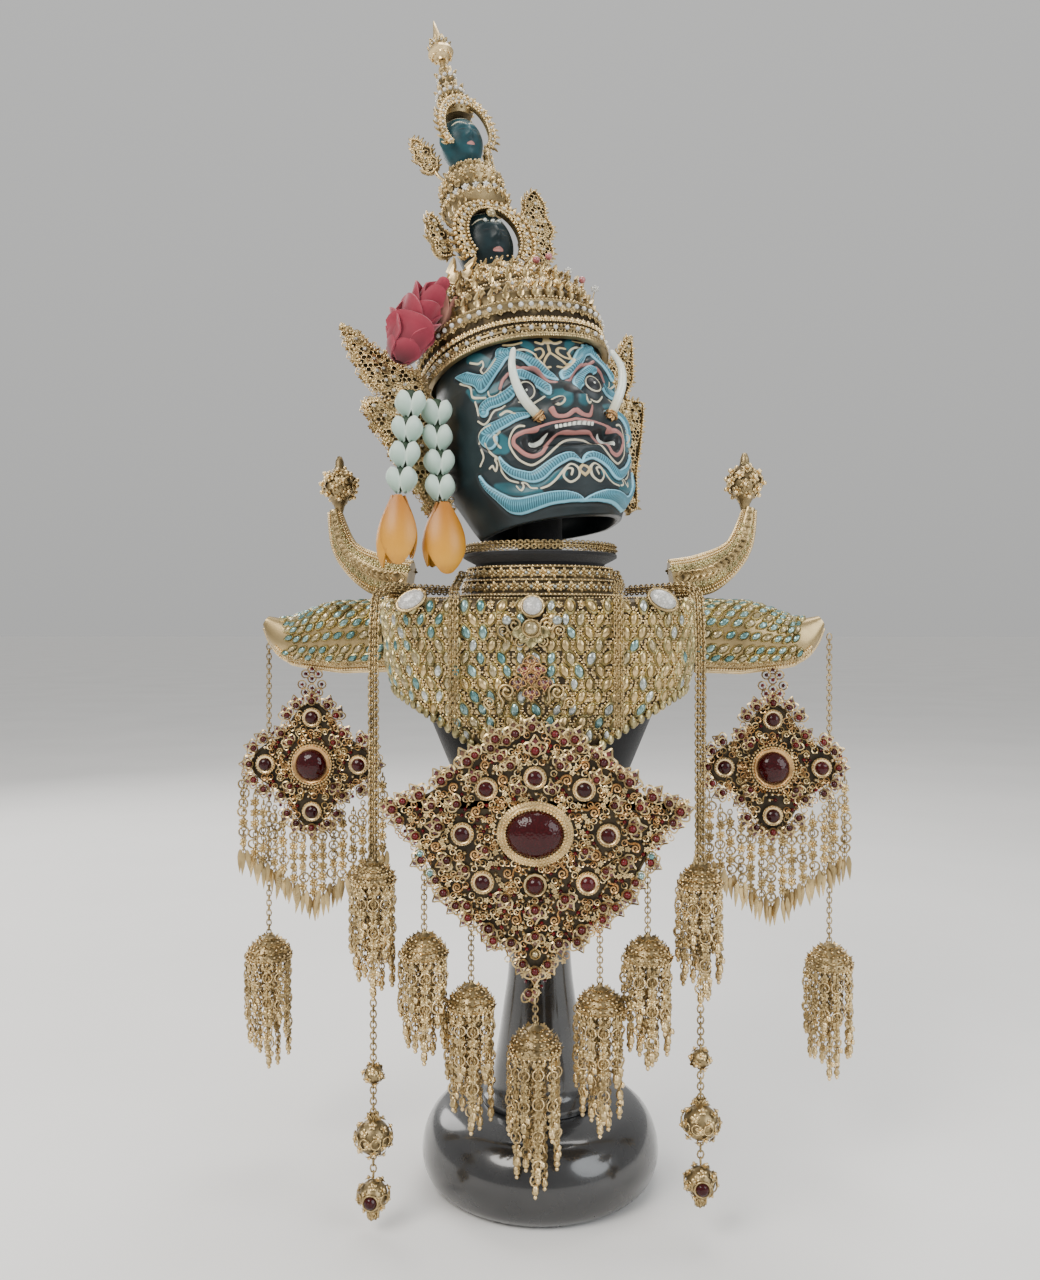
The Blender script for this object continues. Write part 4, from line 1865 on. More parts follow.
def build_ears():
    reach, rise, drop = 34.0, 66.0, 36.0
    base = [
        (0, -0.9 * drop), (0.22 * reach, -drop), (0.4 * reach, -0.45 * drop), (0.66 * reach, 0.04 * rise),
        (0.9 * reach, 0.38 * rise), (0.56 * reach, 0.42 * rise), (0.82 * reach, 0.6 * rise), (reach, rise),
        (0.55 * reach, 0.78 * rise), (0.16 * reach, 0.62 * rise), (0, 0.5 * rise),
    ]
    veins = [
        [(4, -28), (5, -14), (7, 0), (12, 14), (18, 22)],
        [(4, 26), (10, 34), (18, 42), (26, 54), (31, 62)],
        [(10, 2), (9, 14), (6, 26)],
        [(14, 22), (16, 32), (22, 42)],
        [(16, 10), (22, 18), (27, 24)],
        [(3, -6), (3, 8), (4, 18)],
    ]
    for side, word in SIDES:
        place = leaf_place((side * 49, 3, 0), Z=side * 8)
        outline = [(side * u, w) for u, w in base]
        sided = [[(side * u, w) for u, w in vein] for vein in veins]
        leaf(
            "ear_ornament_" + word, outline, place, 4.0, "gilt_brass", ["ear_ornament_" + word], 0.8, sided,
            4.4,
        )


# Garland


def shell(grid, thickness):
    """A thin closed sheet from a grid of points: the mesh and the share along and across at each point."""
    rows, columns = len(grid), len(grid[0])
    normals = []
    for r in range(rows):
        for c in range(columns):
            du = grid[r][min(c + 1, columns - 1)] - grid[r][max(c - 1, 0)]
            dv = grid[min(r + 1, rows - 1)][c] - grid[max(r - 1, 0)][c]
            n = du.cross(dv)
            normals.append(n.normalized() if n.length > 1e-9 else Vector((0, 0, 1)))
    flat = [p for row in grid for p in row]
    top = [p + n * (thickness / 2) for p, n in zip(flat, normals)]
    base = [p - n * (thickness / 2) for p, n in zip(flat, normals)]
    n = len(flat)
    faces = grid_faces(rows, columns, around=False)
    faces += [tuple(i + n for i in f[::-1]) for f in faces]
    rim = [c for c in range(columns)] + [r * columns + columns - 1 for r in range(1, rows)]
    rim += [
        (rows - 1) * columns + c for c in range(columns - 2, -1, -1)
    ] + [r * columns for r in range(rows - 2, 0, -1)]
    faces += [(b, a, a + n, b + n) for a, b in zip(rim, rim[1:] + rim[:1])]
    along = [r / (rows - 1) for r in range(rows) for c in range(columns)]
    across = [abs(2 * c / (columns - 1) - 1) for r in range(rows) for c in range(columns)]
    edge = [max(a**3, b**2) for a, b in zip(along, across)]
    return top + base, faces, along * 2, edge * 2


def petals_object(name, sheets, slot, nodes, material, place=WORLD):
    verts, faces = joined([(s[0], s[1]) for s in sheets])
    obj = new_object(name, verts, faces, place=place)
    keep_values(obj, [v for s in sheets for v in s[2]])
    keep_values(obj, [v for s in sheets for v in s[3]], "rim")
    outward(obj.data, weld=False)
    return settle(obj, slot, nodes, material, 60)


def sheet(rows, columns, thickness, point):
    """A closed sheet from a function of the share along, 0 to 1, and across, -1 to 1."""
    grid = [[point(i / (rows - 1), 2 * j / (columns - 1) - 1) for j in range(columns)] for i in range(rows)]
    return shell(grid, thickness)


def rose_petal(angle, spread, low, high, r, curl, wave, seed, lean=0.0):
    """One petal of the bud: wrapped round the axis, its rounded upper edge curled back in waves."""
    phase = random.Random(seed).random() * 6

    def point(t, s):
        a = angle + s * (spread * (0.45 + 0.55 * sin(pi * (0.04 + 0.62 * t))))
        body = r * (0.36 + 0.66 * sin(pi * (0.06 + 0.6 * t)))
        body += curl * max(0, t - 0.7) ** 1.5 * 8 + wave * sin(4 * s + phase) * t * t + 0.7 * s * t
        z = lerp(
            low, high, t
        ) - (high - low) * 0.42 * abs(s) ** 2.3 * t + 0.7 * wave * sin(3 * s + 2 * phase) * t
        return Vector((body * cos(a) + lean * t * t, body * 0.9 * sin(a), z))

    return sheet(14, 15, 0.8, point)


def crown_flower_lobe(a):
    """One of the four lobes of a crown flower, one unit in size."""

    def point(t, s):
        wide = 0.76 * sin(pi * (0.08 + 0.84 * t**0.85)) ** 0.55
        r = 0.22 + 0.82 * sin(pi * (0.05 + 0.74 * t)) ** 0.8 * (1 - 0.42 * s * s)
        return Vector((r * cos(a + s * wide), r * sin(a + s * wide), 1.75 * t - 0.95 - 0.2 * s * s))

    return sheet(10, 9, 0.16, point)


def champak_petal(x, y, top, turn, length, r, spread):
    """One petal of a champak that hangs from its root at the top."""

    def point(t, s):
        wide = spread * sin(pi * (0.08 + 0.87 * t)) ** 0.5
        rr = r * (0.2 + 0.84 * sin(pi * (0.05 + 0.78 * t**1.15)) ** 0.9) + 0.5 * abs(s) ** 3
        drift = Vector((x + 1.8 * t * cos(turn), y + 1.2 * t * sin(turn), 0))
        a = turn + s * wide
        return drift + Vector((rr * cos(a) * 0.95, rr * sin(a) * 0.8, top - length * t + 0.8 * s * s * t))

    return sheet(14, 11, 0.7, point)


# By side: x, y and top of the string, x of its lower end, turn of its flowers, and each champak petal's
# turn, length, radius and spread
STRINGS = {
    "left": (-57.54, -45.96, 380.04, -62.74, 0.12, [
        (-0.95, 33.5, 9.0, 1.05), (0.35, 32, 9.4, 1.0), (2.3, 29, 7.4, 1.0), (4.1, 31, 7.6, 1.0)
    ]),
    "right": (-47.53, -37.5, 377.5, -45.1, 0.2, [
        (0.1, 33.5, 10.2, 1.1), (-1.5, 30, 8.4, 0.9), (2.2, 29, 7.4, 1.0), (3.8, 30, 7.6, 1.0)
    ]),
}
FLOWER_PITCH, FLOWERS = 11.6, 4
# Layers of the rose from the inside: petals, radius, lower and upper edge, spread, curl and lean
ROSE = (
    (2, 3.4, -4, 22, 1.9, 0.5, 4.5),
    (3, 5.8, -10, 17, 1.5, 1.2, 2.6),
    (4, 8.2, -15, 10.5, 1.35, 1.9, 0.6),
    (4, 9.6, -19, 2.5, 1.3, 2.4, 0.0),
)


def build_garland():
    place = Matrix.Translation((-58, -32.5, 417)) @ Matrix.Rotation(math.radians(21), 4, "Y")
    sheets = []
    for layer, (count, r, low, high, spread, curl, lean) in enumerate(ROSE):
        for k in range(count):
            angle = 2 * pi * k / count + layer * 0.85 + 2.2
            sheets.append(rose_petal(angle, spread, low, high, r, curl, 1.5, 31 * layer + k, lean))
    petals_object("garland_rose_petals", sheets, "rose_felt", ["garland_rose"], "Rose petals", place)
    beside = Matrix.Translation((-44.5, -29, 421)) @ Matrix.Rotation(math.radians(14), 4, "Y")
    sepals = [rose_petal(a, 1.1, -9, 9, 3.2, 0.5, 0.3, 90 + k) for k, a in enumerate(full_turn(3))]
    petals_object("garland_bud", sepals, "rose_felt", [], "Rose sepal", beside)
    calyx = [
        rose_petal(a + 0.3, 0.95, -21.0, -9, 8.6, 0.1, 0.2, 120 + k) for k, a in enumerate(full_turn(4))
    ]
    petals_object("garland_calyx", calyx, "rose_felt", [], "Rose petals", place)
    lobes = [crown_flower_lobe(a + pi / 4) for a in full_turn(4)]
    for side, word in SIDES:
        x, y, top, end_x, flower_turn, petals = STRINGS[word]
        blooms, greens = [], []
        for i in range(FLOWERS):
            at = Vector((lerp(x, end_x, (i + 0.5) / FLOWERS), y, top - FLOWER_PITCH * (i + 0.42)))
            turn = Matrix.Rotation(0.14 * (-1) ** i + flower_turn, 4, "Z")
            for lobe in lobes:
                verts = [at + turn @ Vector((p.x * 7.4, p.y * 6.6, p.z * 5.9)) for p in lobe[0]]
                blooms.append((verts, *lobe[1:]))
            path = [at + Vector((0, 0, z)) for z in (5.6, 3, 0, -3, -5.6)]
            greens.append(tube_mesh(path, [2.0, 3.4, 3.9, 3.0, 1.9], 14))
        petals_object(
            "crown_flowers_" + word, blooms, "flower_clay", ["garland_string_" + word], "Crown flower"
        )
        obj = new_object("garland_thread_" + word, *joined(greens))
        outward(obj.data)
        settle(obj, "flower_clay", [], "Garland green")
        root = (end_x + 0.88 * side, y, top - FLOWER_PITCH * FLOWERS - 1.0)
        sheets = [champak_petal(*root, turn - pi / 2 + 0.25 * side, *petal) for turn, *petal in petals]
        petals_object(
            "champak_petals_" + word, sheets, "champak_clay", ["champak_" + word], "Champak petals"
        )


# Collar and neckband


def collar_plan(angle, reach):
    """The collar's plan, from the neck's opening at reach 0 to its outer edge at reach 1."""
    k = 2 / 3.4
    s, c = sin(angle), cos(angle)
    depth = COLLAR_FRONT if c > 0 else COLLAR_BACK
    x, y = COLLAR_HALF_WIDTH * signed_power(s, k), -depth * signed_power(c, k)
    return lerp(COLLAR_OPENING * s, x, reach), lerp(-COLLAR_OPENING * c, y, reach)


def collar_bottom(angle):
    share = abs(collar_plan(angle, 1)[0]) / COLLAR_HALF_WIDTH
    drop = COLLAR_FRONT_DROP if cos(angle) > 0 else COLLAR_BACK_DROP
    return COLLAR_TOP - lerp(drop, COLLAR_SIDE_DROP, share)


def collar_point(angle, up, out=0.0):
    """A point of the collar at a share of the way up; it turns inwards to the neck near the top."""
    reach = float(np.interp(
        up, [0, 0.18, 0.35, 0.52, 0.7, 0.82, 0.9, 0.945, 0.975, 1],
        [0.62, 0.76, 0.86, 0.93, 0.98, 1.0, 0.995, 0.96, 0.86, 0],
    ))
    steer = 0.6 * sin(angle) ** 2 * float(1 - smooth(up, 0.35, 0.7))
    x, y = collar_plan(angle, lerp(reach, 1, steer))
    z = lerp(collar_bottom(angle), COLLAR_TOP, up)
    flat = float(smooth(up, 0.86, 0.99))
    length = math.hypot(x, y)
    return Vector((x + x / length * out * (1 - flat), y + y / length * out * (1 - flat), z + out * flat))


def collar_ring(up, out, n=360):
    return [collar_point(angle, up, out) for angle in full_turn(n)]


def collar_frame(angle, up):
    p = collar_point(angle, up)
    du = collar_point(angle + 0.02, up) - collar_point(angle - 0.02, up)
    dv = collar_point(angle, min(up + 0.02, 0.995)) - collar_point(angle, max(up - 0.02, 0))
    normal = du.cross(dv).normalized()
    if normal.dot(Vector((p.x, p.y, 0))) < 0 and up < 0.9:
        normal = -normal
    if up >= 0.9 and normal.z < 0:
        normal = -normal
    return p, normal, dv.normalized()


def build_collar():
    ups = [
        0, 0.02, 0.06, 0.12, 0.2, 0.3, 0.4, 0.5, 0.6, 0.7, 0.78, 0.84, 0.88, 0.91, 0.935, 0.955, 0.97,
        0.985, 1,
    ]
    rings = [collar_ring(up, 0, 144) for up in ups]
    rings += [collar_ring(up, -2.6, 144) for up in (1, 0.97, 0.9, 0.7, 0.4, 0.12, 0)]
    obj = new_object("collar_ground", *rings_mesh(rings, looped=True))
    outward(obj.data)
    settle(obj, "gilt_lacquer", ["jewelled_collar"], "Dark filigree ground", 50)
    scales, lattice, edge, rosettes, leaves = spot_sets(5)
    sets = {"Teal stones": Spots(), "Clear stones": Spots(), "Aged gold": Spots()}
    chance = random.Random(12)
    pitch_z, pitch_s = 5.8, 8.0
    for row in range(17):
        z = 281.2 - pitch_z * row
        line = []
        for a in full_turn(360):
            low = collar_bottom(a)
            up = (z - low) / (COLLAR_TOP - low)
            line.append((collar_point(a, max(up, 0)), a, up))
        places = evenly([p for p, a, up in line], spacing=pitch_s, phase=0.5 * (row % 2))
        for p, along in places:
            _, a, up = min(line, key=lambda item: (item[0] - p).length_squared)
            if up < 0.035:
                continue
            at, normal, rise = collar_frame(a, up)
            if up < 0.9:
                for share in (0.1, 0.3, 0.5, 0.7, 0.9):
                    for sign in (-1, 1):
                        q = at + along * (sign * pitch_s / 2 * (1 - share)) + rise * (pitch_z * share)
                        lattice.add(q + normal * 0.3, normal, rise, 0.78)
                for sign in (-1, 1):
                    leaves.add(
                        at + along * sign * 1.7 - rise * 2.6, normal, rise + along * sign * 0.75, 3.4
                    )
                    leaves.add(
                        at + along * sign * 1.9 + rise * 0.6, normal, rise * 0.8 + along * sign * 0.9, 2.6
                    )
            rise = Matrix.Rotation(chance.uniform(-0.45, 0.45), 3, normal) @ rise
            small = (0.8 if up < 0.1 else 1.0) * chance.uniform(0.9, 1.08)
            scales.add(at + normal * 0.3, normal, rise, (5.0 * small, 4.3 * small, 4.0 * small))
            kind = chance.random()
            teal_share = 0.62 if p.x < -15 else 0.36 if p.x < 20 else 0.14
            plain = "Clear stones" if kind < teal_share + 0.26 else "Aged gold"
            name = "Teal stones" if kind < teal_share else plain
            sets[name].add(at + normal * 0.3, normal, rise, (5.2 * small, 4.5 * small, 4.0 * small))
    for p, along in evenly(collar_ring(0.012, 0.3), spacing=4.3):
        out = Vector((p.x, p.y, 0)).normalized()
        edge.add(p + out * 0.7 + Vector((0, 0, 0.8)), out, (0, 0, -1), (2.1, 2.6, 1.9))
    for up, size, gap in ((0.905, 0.8, 1.75), (0.035, 0.75, 1.7), (0.985, 0.7, 1.6)):
        for p, along in evenly(collar_ring(up, 0.4), spacing=gap):
            lattice.add(p, (p.x, p.y, 0), (0, 0, 1), size)
    for p, along in evenly(collar_ring(0.955, 0.2), spacing=5.2):
        rosettes.add(p, Vector((p.x, p.y, 40)), (0, 0, 1), 2.3)
    scales.build("collar_scales", "scale", "Green gold", "gilt_lacquer", tilt=0.1, seed=41, sharp=50)
    for name, spots in sets.items():
        spots.build(
            "collar_" + name.lower().replace(" ", "_"), "marquise", name, "gilt_lacquer", tilt=0.1, seed=42,
            sharp=35,
        )
    lattice.build("collar_beads", "grain", "Pale gold", "gilt_lacquer")
    edge.build("collar_edge", "cabochon", "Green gold", "gilt_lacquer", tilt=0.1, seed=43)
    leaves.build("collar_leaves", "flat_petal", "Aged gold", "gilt_lacquer", tilt=0.15, seed=46, sharp=50)
    rosettes.build("collar_rosettes", "rosette", "Aged gold", "gilt_lacquer", seed=44, sharp=50)
    opals, bezels, rays = spot_sets(3)
    for x, y, z in ((-57, -50.5, 284), (-1.5, -55.6, 281.2), (57, -50.5, 284)):
        sign = math.copysign(1, x)
        middle = abs(x) < 10
        normal = Vector((0, -1, 0.4)) if middle else Vector((0.15 * sign, -1, 0.55))
        at = Vector((x, y, z)) + normal.normalized() * 0.6
        rise = (0, 0, 1) if middle else (sign * 0.5, 0, 0.85)
        opals.add(at, normal, rise, (4.6, 4.6, 4.2) if middle else (6.6, 4.4, 4.2))
        bezels.add(at, normal, rise, (5.1, 5.1, 4) if middle else (7.1, 4.9, 4))
    opals.build("collar_opals", "cabochon", "Opal", "gilt_lacquer")
    star, dots, spirals, dark = Vector((-2, -56.4, 271.4)), Spots(), Spots(), Spots()
    for k in range(5):
        a = pi * (1.1 + 0.8 * k / 4)
        root = star + Vector((2.2 * cos(a), -0.6, 2.2 * sin(a)))
        rays.add(root, (0, -1, 0), (cos(a), -0.2, sin(a)), 6.0 if k % 2 else 7.2)
    rays.build("collar_star", "petal", "Green gold", "gilt_lacquer", seed=45)
    for sign in (-1, 1):
        spirals.add(star + Vector((sign * 7.5, -1.0, 1.5)), (0, -1, 0), (0.3 * sign, 0, 1), 6.0)
        spirals.add(star + Vector((sign * 12.5, -1.0, -1.0)), (0, -1, 0), (0.8 * sign, 0, 1), 4.6)
        spirals.add(star + Vector((sign * 5.0, -1.0, -6.0)), (0, -1, 0), (0.8 * sign, 0, -1), 4.4)
    bezels.add(star + Vector((0, -1.0, 0)), (0, -1, 0), (0, 0, 1), 3.9)
    for x, z, s in ((-2, 271.4, 3.3), (-13, 275, 2.2), (9.5, 275, 2.2)):
        dark.add((x, -57.6, z), (0, -1, 0), (0, 0, 1), s)
    bezels.build("collar_opal_bezels", "loop", "Aged gold", "gilt_lacquer")
    dark.build("collar_star_stones", "cabochon", "Clear stones", "gilt_lacquer", sharp=30)
    for x, z in ((-2, 257.5), (-2, 250.6), (-8, 248), (4, 248), (-2, 243.5), (-5, 254), (1, 254)):
        dots.add((x, -57.4, z), (0, -1, 0), (0, 0, -1), 4.4)
    dots.build("collar_buds", "bud_wire", "Copper gold", "gilt_lacquer")
    dots.build("collar_bud_petals", "bud_fill", "Red enamel", "gilt_lacquer")
    for x, sign in ((-13, -1), (9.6, 1)):
        spirals.add((x, -57.6, 243), (0, -1, 0), (0.2 * sign, 0, 1), 6.4)
        spirals.add((x * 1.6, -57.4, 238), (0, -1, 0), (0.6 * sign, 0, 1), 4.4)
    spirals.build("collar_spirals", "spiral", "Aged gold", "gilt_lacquer")
    build_neckband()


def cone_radius(z):
    return lerp(39.5, 35.0, (z - 286.3) / 15.0)


def build_neckband():
    profile = [
        (cone_radius(z) + o, z)
        for o, z in (
            (-2.2, 286.3), (0, 286.3), (0.5, 286.8), (0.5, 287.6), (-0.1, 288.1), (-0.1, 293.4),
            (0.35, 293.8), (0.35, 294.6), (-0.1, 295), (-0.1, 299.8), (0.5, 300.2), (0.5, 301),
            (0.1, 301.3), (-2.2, 301.3),
        )
    ]
    rings = [ellipse_ring(r, r, z, 96) for r, z in profile]
    obj = new_object("neckband_ground", *rings_mesh(rings, looped=True))
    outward(obj.data)
    settle(obj, "gilt_brass", ["collar_neckband"], "Gilded relief", 45)
    beads, roses, drops, gems = spot_sets(4)
    for z, count, size in ((287.2, 120, 0.75), (294.2, 110, 0.62), (300.7, 110, 0.7)):
        row_on(beads, circle_at(cone_radius(z) + 0.6, z, (0, 0)), count, size)
    row_on(roses, circle_at(cone_radius(291) + 0.2, 290.8, (0, 0)), 44, 3.0)
    row_on(roses, circle_at(cone_radius(297.4) + 0.2, 297.4, (0, 0)), 44, 2.9, phase=0.5)
    row_on(drops, circle_at(cone_radius(298.6) + 0.5, 295.4, (0, 0)), 44, 2.9, 4)
    row_on(gems, circle_at(cone_radius(291) + 0.8, 290.8, (0, 0)), 44, 0.9, phase=0.5)
    row_on(gems, circle_at(cone_radius(297) + 0.8, 297.4, (0, 0)), 44, 0.8)
    beads.build("neckband_beads", "bead", "Pale gold", "gilt_brass")
    roses.build("neckband_rosettes", "rosette", "Aged gold", "gilt_brass", tilt=0.12, seed=51, sharp=50)
    drops.build("neckband_petals", "petal", "Aged gold", "gilt_brass", tilt=0.06, seed=52)
    gems.build("neckband_stones", "cabochon", "Clear stones", "gilt_brass", sharp=30)


# Chains


def strand_lines(path, offset):
    """Two lines side by side along a path, for a plaited chain."""
    pts = [Vector(p) for p in path]
    out = []
    for sign in (-1, 1):
        line = []
        for i, p in enumerate(pts):
            along = (pts[min(i + 1, len(pts) - 1)] - pts[max(i - 1, 0)]).normalized()
            side = along.cross(Vector((0, -1, 0.3))).normalized()
            line.append(p + side * sign * offset)
        out.append(line)
    return out


def build_chains():
    loops = []
    for r, z in ((37.6, 309.6), (37.2, 311.6), (35.9, 310.4)):
        loops.append([Vector((r * sin(a), -r * cos(a), z)) for a in (*full_turn(90), 2 * pi)])
    hang_chain("neck_chain_links", loops, 2.7, 2.1, 0.42, ["neck_chain"])
    edge, shoulder = 274.0, 289.8
    for side, word in SIDES:
        x = side * INNER_CHAIN_X
        inner = [
            (side * 36.6, -21, 298), (side * 38.5, -31, 292), (x, CHAIN_Y + 5.5, 288.3), (x, CHAIN_Y, edge),
            (x, CHAIN_Y, 250.5), (x, CHAIN_Y, 227),
        ]
        lines = strand_lines(curve_points(inner, 10), 1.05)
        hang_chain("inner_chain_links_" + word, lines, 3.0, 2.3, 0.46, ["inner_chain_" + word])
        x = side * OUTER_CHAIN_X
        start, turn = Vector((side * 43, -8.2, shoulder)), Vector((side * 71, CHAIN_Y + 12, shoulder - 0.9))
        outer = [
            start, start.lerp(turn, 0.46) + Vector((0, 0, 0.6)), turn, (x, CHAIN_Y + 2, edge),
            (x, CHAIN_Y, 221), (x, CHAIN_Y, 168.3),
        ]
        lines = strand_lines(curve_points(outer, 12), 1.15)
        hang_chain("outer_chain_links_" + word, lines, 3.3, 2.5, 0.5, ["outer_chain_" + word])
        line = [[Vector((END_CHAIN_X[side], END_CHAIN_Y, z)) for z in np.linspace(267, 116.3, 40)]]
        hang_chain("fine_chain_links_" + word, line, 3.6, 2.3, 0.42, ["fine_chain_" + word])


# Shoulder wings


def wing_surface(path, heights, depths):
    """A function that gives the wing's point at a share of its length and an angle round it."""
    curve = curve_points(path, 24)

    def pick(values, t):
        s = t * (len(values) - 1)
        i = min(len(values) - 2, int(s))
        return lerp(values[i], values[i + 1], float(smooth(s - i, -0.15, 1.15)))

    def at(t, a, out=0.0):
        s = t * (len(curve) - 1)
        i = min(len(curve) - 2, int(s))
        c = curve[i].lerp(curve[i + 1], s - i)
        along = (curve[i + 1] - curve[i]).normalized()
        up = Vector((0, 1, 0)).cross(along).normalized()
        if up.z < 0:
            up = -up
        across = (pick(depths, t) / 2 + out) * signed_power(sin(a), 0.75)
        rise = (pick(heights, t) / 2 + out) * signed_power(cos(a), 0.75)
        return c + up * rise + Vector((0, across, 0))

    return at


def wing_frame(at, t, a):
    p = at(t, a)
    du = at(min(t + 0.01, 1), a) - at(max(t - 0.01, 0), a)
    dv = at(t, a + 0.05) - at(t, a - 0.05)
    normal = du.cross(dv).normalized()
    inside = at(t, a, -1.0)
    if normal.dot(p - inside) < 0:
        normal = -normal
    return p, normal, du.normalized()


def build_wings():
    for side, word in SIDES:
        flip = lambda pts: [(side * x, y, z) for x, y, z in pts]
        upper = wing_surface(
            flip([(65, 0, 295.9), (82.6, 0, 299.1), (97.8, 0, 311), (103.8, 0, 331)]), [16.9, 18, 11, 5],
            [24, 21.6, 15, 7],
        )
        lower = wing_surface(
            flip([(76.9, 2, 268), (101.7, 2, 267), (124.1, 2, 265.9), (139, 2, 275.1)]), [34, 34, 23.8, 5],
            [36, 34.1, 22.1, 7],
        )
        for name, at, slot in (
            ("upper_wing_", upper, "gilt_brass"), ("lower_wing_", lower, "gilt_lacquer")
        ):
            rings = [[at(i / 40, 2 * pi * k / 32) for k in range(32)] for i in range(41)]
            obj = new_object(name + word + "_ground", *rings_mesh(rings))
            outward(obj.data)
            settle(obj, slot, [name + word], "Wing gold", 60)
        ridges = []
        for at, end, a, r in ((upper, 0.99, pi, 1.5), (upper, 0.99, 0.0, 1.0), (lower, 0.97, pi, 1.5)):
            path = [at(end * i / 40, a, 0.3) for i in range(41)]
            ridges.append(tube_mesh(path, [r * lerp(1, 0.6, i / 40) for i in range(41)], 10))
        obj = new_object("wing_ridges_" + word, *joined(ridges))
        settle(obj, "gilt_brass", [], "Pale gold")
        beads, petals, roses, scales, stones_, studs = spot_sets(6)
        for face in (-1, 1):
            for a, size in ((0.32, 0.9), (pi - 0.32, 0.9), (0.75, 0.65), (pi - 0.75, 0.65)):
                count = 46 if size > 0.8 else 60
                for i in range(count):
                    p, normal, along = wing_frame(upper, 0.02 + 0.93 * i / (count - 1), face * a)
                    beads.add(p + normal * 0.2, normal, along, size * lerp(1, 0.7, i / count))
            for i in range(17):
                t = 0.03 + 0.87 * i / 16
                p, normal, along = wing_frame(upper, t, face * pi / 2)
                petals.add(p, normal, along, lerp(7.6, 3.6, t))
            for a in (1.12, pi - 1.12):
                for i in range(15):
                    t = 0.03 + 0.8 * i / 14
                    p, normal, along = wing_frame(upper, t, face * a)
                    roses.add(p, normal, along, lerp(2.5, 1.4, t))
            for row in range(8):
                a = lerp(0.2, 2.1, row / 7)
                reach = lerp(0.88, 0.72, row / 7)
                count = int(13 * reach)
                for i in range(count):
                    t = (i + 0.5 * (row % 2) + 0.3) / 13
                    p, normal, along = wing_frame(lower, t, face * a)
                    small = lerp(1.0, 0.62, t)
                    lean = Matrix.Rotation(0.6, 3, normal) @ along
                    scales.add(p + normal * 0.2, normal, lean, (4.6 * small, 4.2 * small, 3.6))
                    stones_.add(p + normal * 0.2, normal, lean, (4.8 * small, 4.3 * small, 3.6))
            for a, size, count in ((2.2, 0.8, 48), (2.72, 0.8, 46), (0.2, 0.85, 50)):
                for i in range(count):
                    p, normal, along = wing_frame(lower, 0.02 + 0.74 * i / (count - 1), face * a)
                    beads.add(p + normal * 0.2, normal, along, size)
            for i in range(20):
                t = 0.03 + 0.7 * i / 19
                p, normal, along = wing_frame(lower, t, face * 2.46)
                studs.add(p, normal, along, 2.0)
        beads.build("wing_beads_" + word, "bead", "Pale gold", "gilt_brass")
        petals.build("wing_petals_" + word, "petal", "Aged gold", "gilt_brass", tilt=0.05, seed=61)
        roses.build(
            "wing_rosettes_" + word, "rosette", "Green gold", "gilt_brass", tilt=0.1, seed=62, sharp=50
        )
        scales.build(
            "wing_scales_" + word, "scale", "Green gold", "gilt_lacquer", tilt=0.08, seed=63, sharp=50
        )
        stones_.build(
            "wing_stones_" + word, "marquise", "Teal stones", "gilt_lacquer", tilt=0.08, seed=64, sharp=35
        )
        studs.build("wing_studs_" + word, "rosette", "Aged gold", "gilt_lacquer", seed=65, sharp=50)
        build_knob(word, side)


def sphere_directions(count):
    """Directions spread evenly over a sphere."""
    for k in range(count):
        t = 1 - 2 * (k + 0.5) / count
        wide, a = math.sqrt(1 - t * t), k * GOLDEN_ANGLE
        yield Vector((wide * cos(a), wide * sin(a), t))


def spokes(count):
    return [Vector((cos(a), sin(a), 0)) for a in full_turn(count)]


def build_knob(word, side):
    x, z = side * 101.3, 333.9
    profile = [
        (0.001, -4), (1.9, -4), (2.6, -1.2), (3.6, 0.6), (4.8, 2.4), (6.8, 5.5), (7.6, 9), (6.6, 13),
        (3.8, 16.6), (2.4, 18.6), (2.2, 21.5), (1.2, 24), (0.001, 24.5),
    ]
    turned(
        "wing_knob_core_" + word, profile, "Gilded relief", "gilt_lacquer", ["wing_knob_" + word], 32,
        WORLD, 50, (x, 0, z),
    )
    roses, beads, petals = spot_sets(3)
    for n in sphere_directions(26):
        p = Vector((x, 0, z + 9.4)) + Vector((n.x * 8.3, n.y * 8.3, n.z * 7.8))
        roses.add(p, n, (0, 0, 1), 3.0)
        beads.add(p + n * 1.3, n, (0, 0, 1), 1.2)
    for out in spokes(8):
        petals.add(
            Vector((x, 0, z + 17)) + out * 2.2, out + Vector((0, 0, 0.6)), out * 0.6 + Vector((0, 0, 1)),
            4.2,
        )
        petals.add(
            Vector((x, 0, z + 3.0)) + out * 3.0, out - Vector((0, 0, 0.6)), out + Vector((0, 0, 0.7)), 4.4
        )
    beads.add((x, 0, z + 22.6), (0, 0, 1), (0, 1, 0), 1.7)
    roses.build(
        "knob_rosettes_" + word, "rosette", "Aged gold", "gilt_lacquer", tilt=0.2, seed=66, sharp=50
    )
    beads.build("knob_beads_" + word, "pearl", "Pale gold", "gilt_lacquer")
    petals.build("knob_petals_" + word, "petal", "Green gold", "gilt_lacquer", tilt=0.1, seed=67)


# Pendants


def inside(outline, x, z):
    hit = False
    for (x0, z0), (x1, z1) in zip(outline, outline[1:] + outline[:1]):
        if (z0 > z) != (z1 > z) and x < x0 + (z - z0) * (x1 - x0) / (z1 - z0):
            hit = not hit
    return hit


def struts(points, reach, wire, y):
    """Short wires that join ornaments standing near each other into one openwork plate."""
    parts = []
    for i, (ax, az, ar) in enumerate(points):
        for bx, bz, br in points[i + 1 :]:
            d = math.hypot(ax - bx, az - bz)
            if d < (ar + br) * 0.75 + reach:
                parts.append(tube_mesh(
                    [
                        Vector((ax, y, az)), Vector(((ax + bx) / 2, y + 0.3, (az + bz) / 2)),
                        Vector((bx, y, bz)),
                    ],
                    wire, 4,
                ))
    return joined(parts)


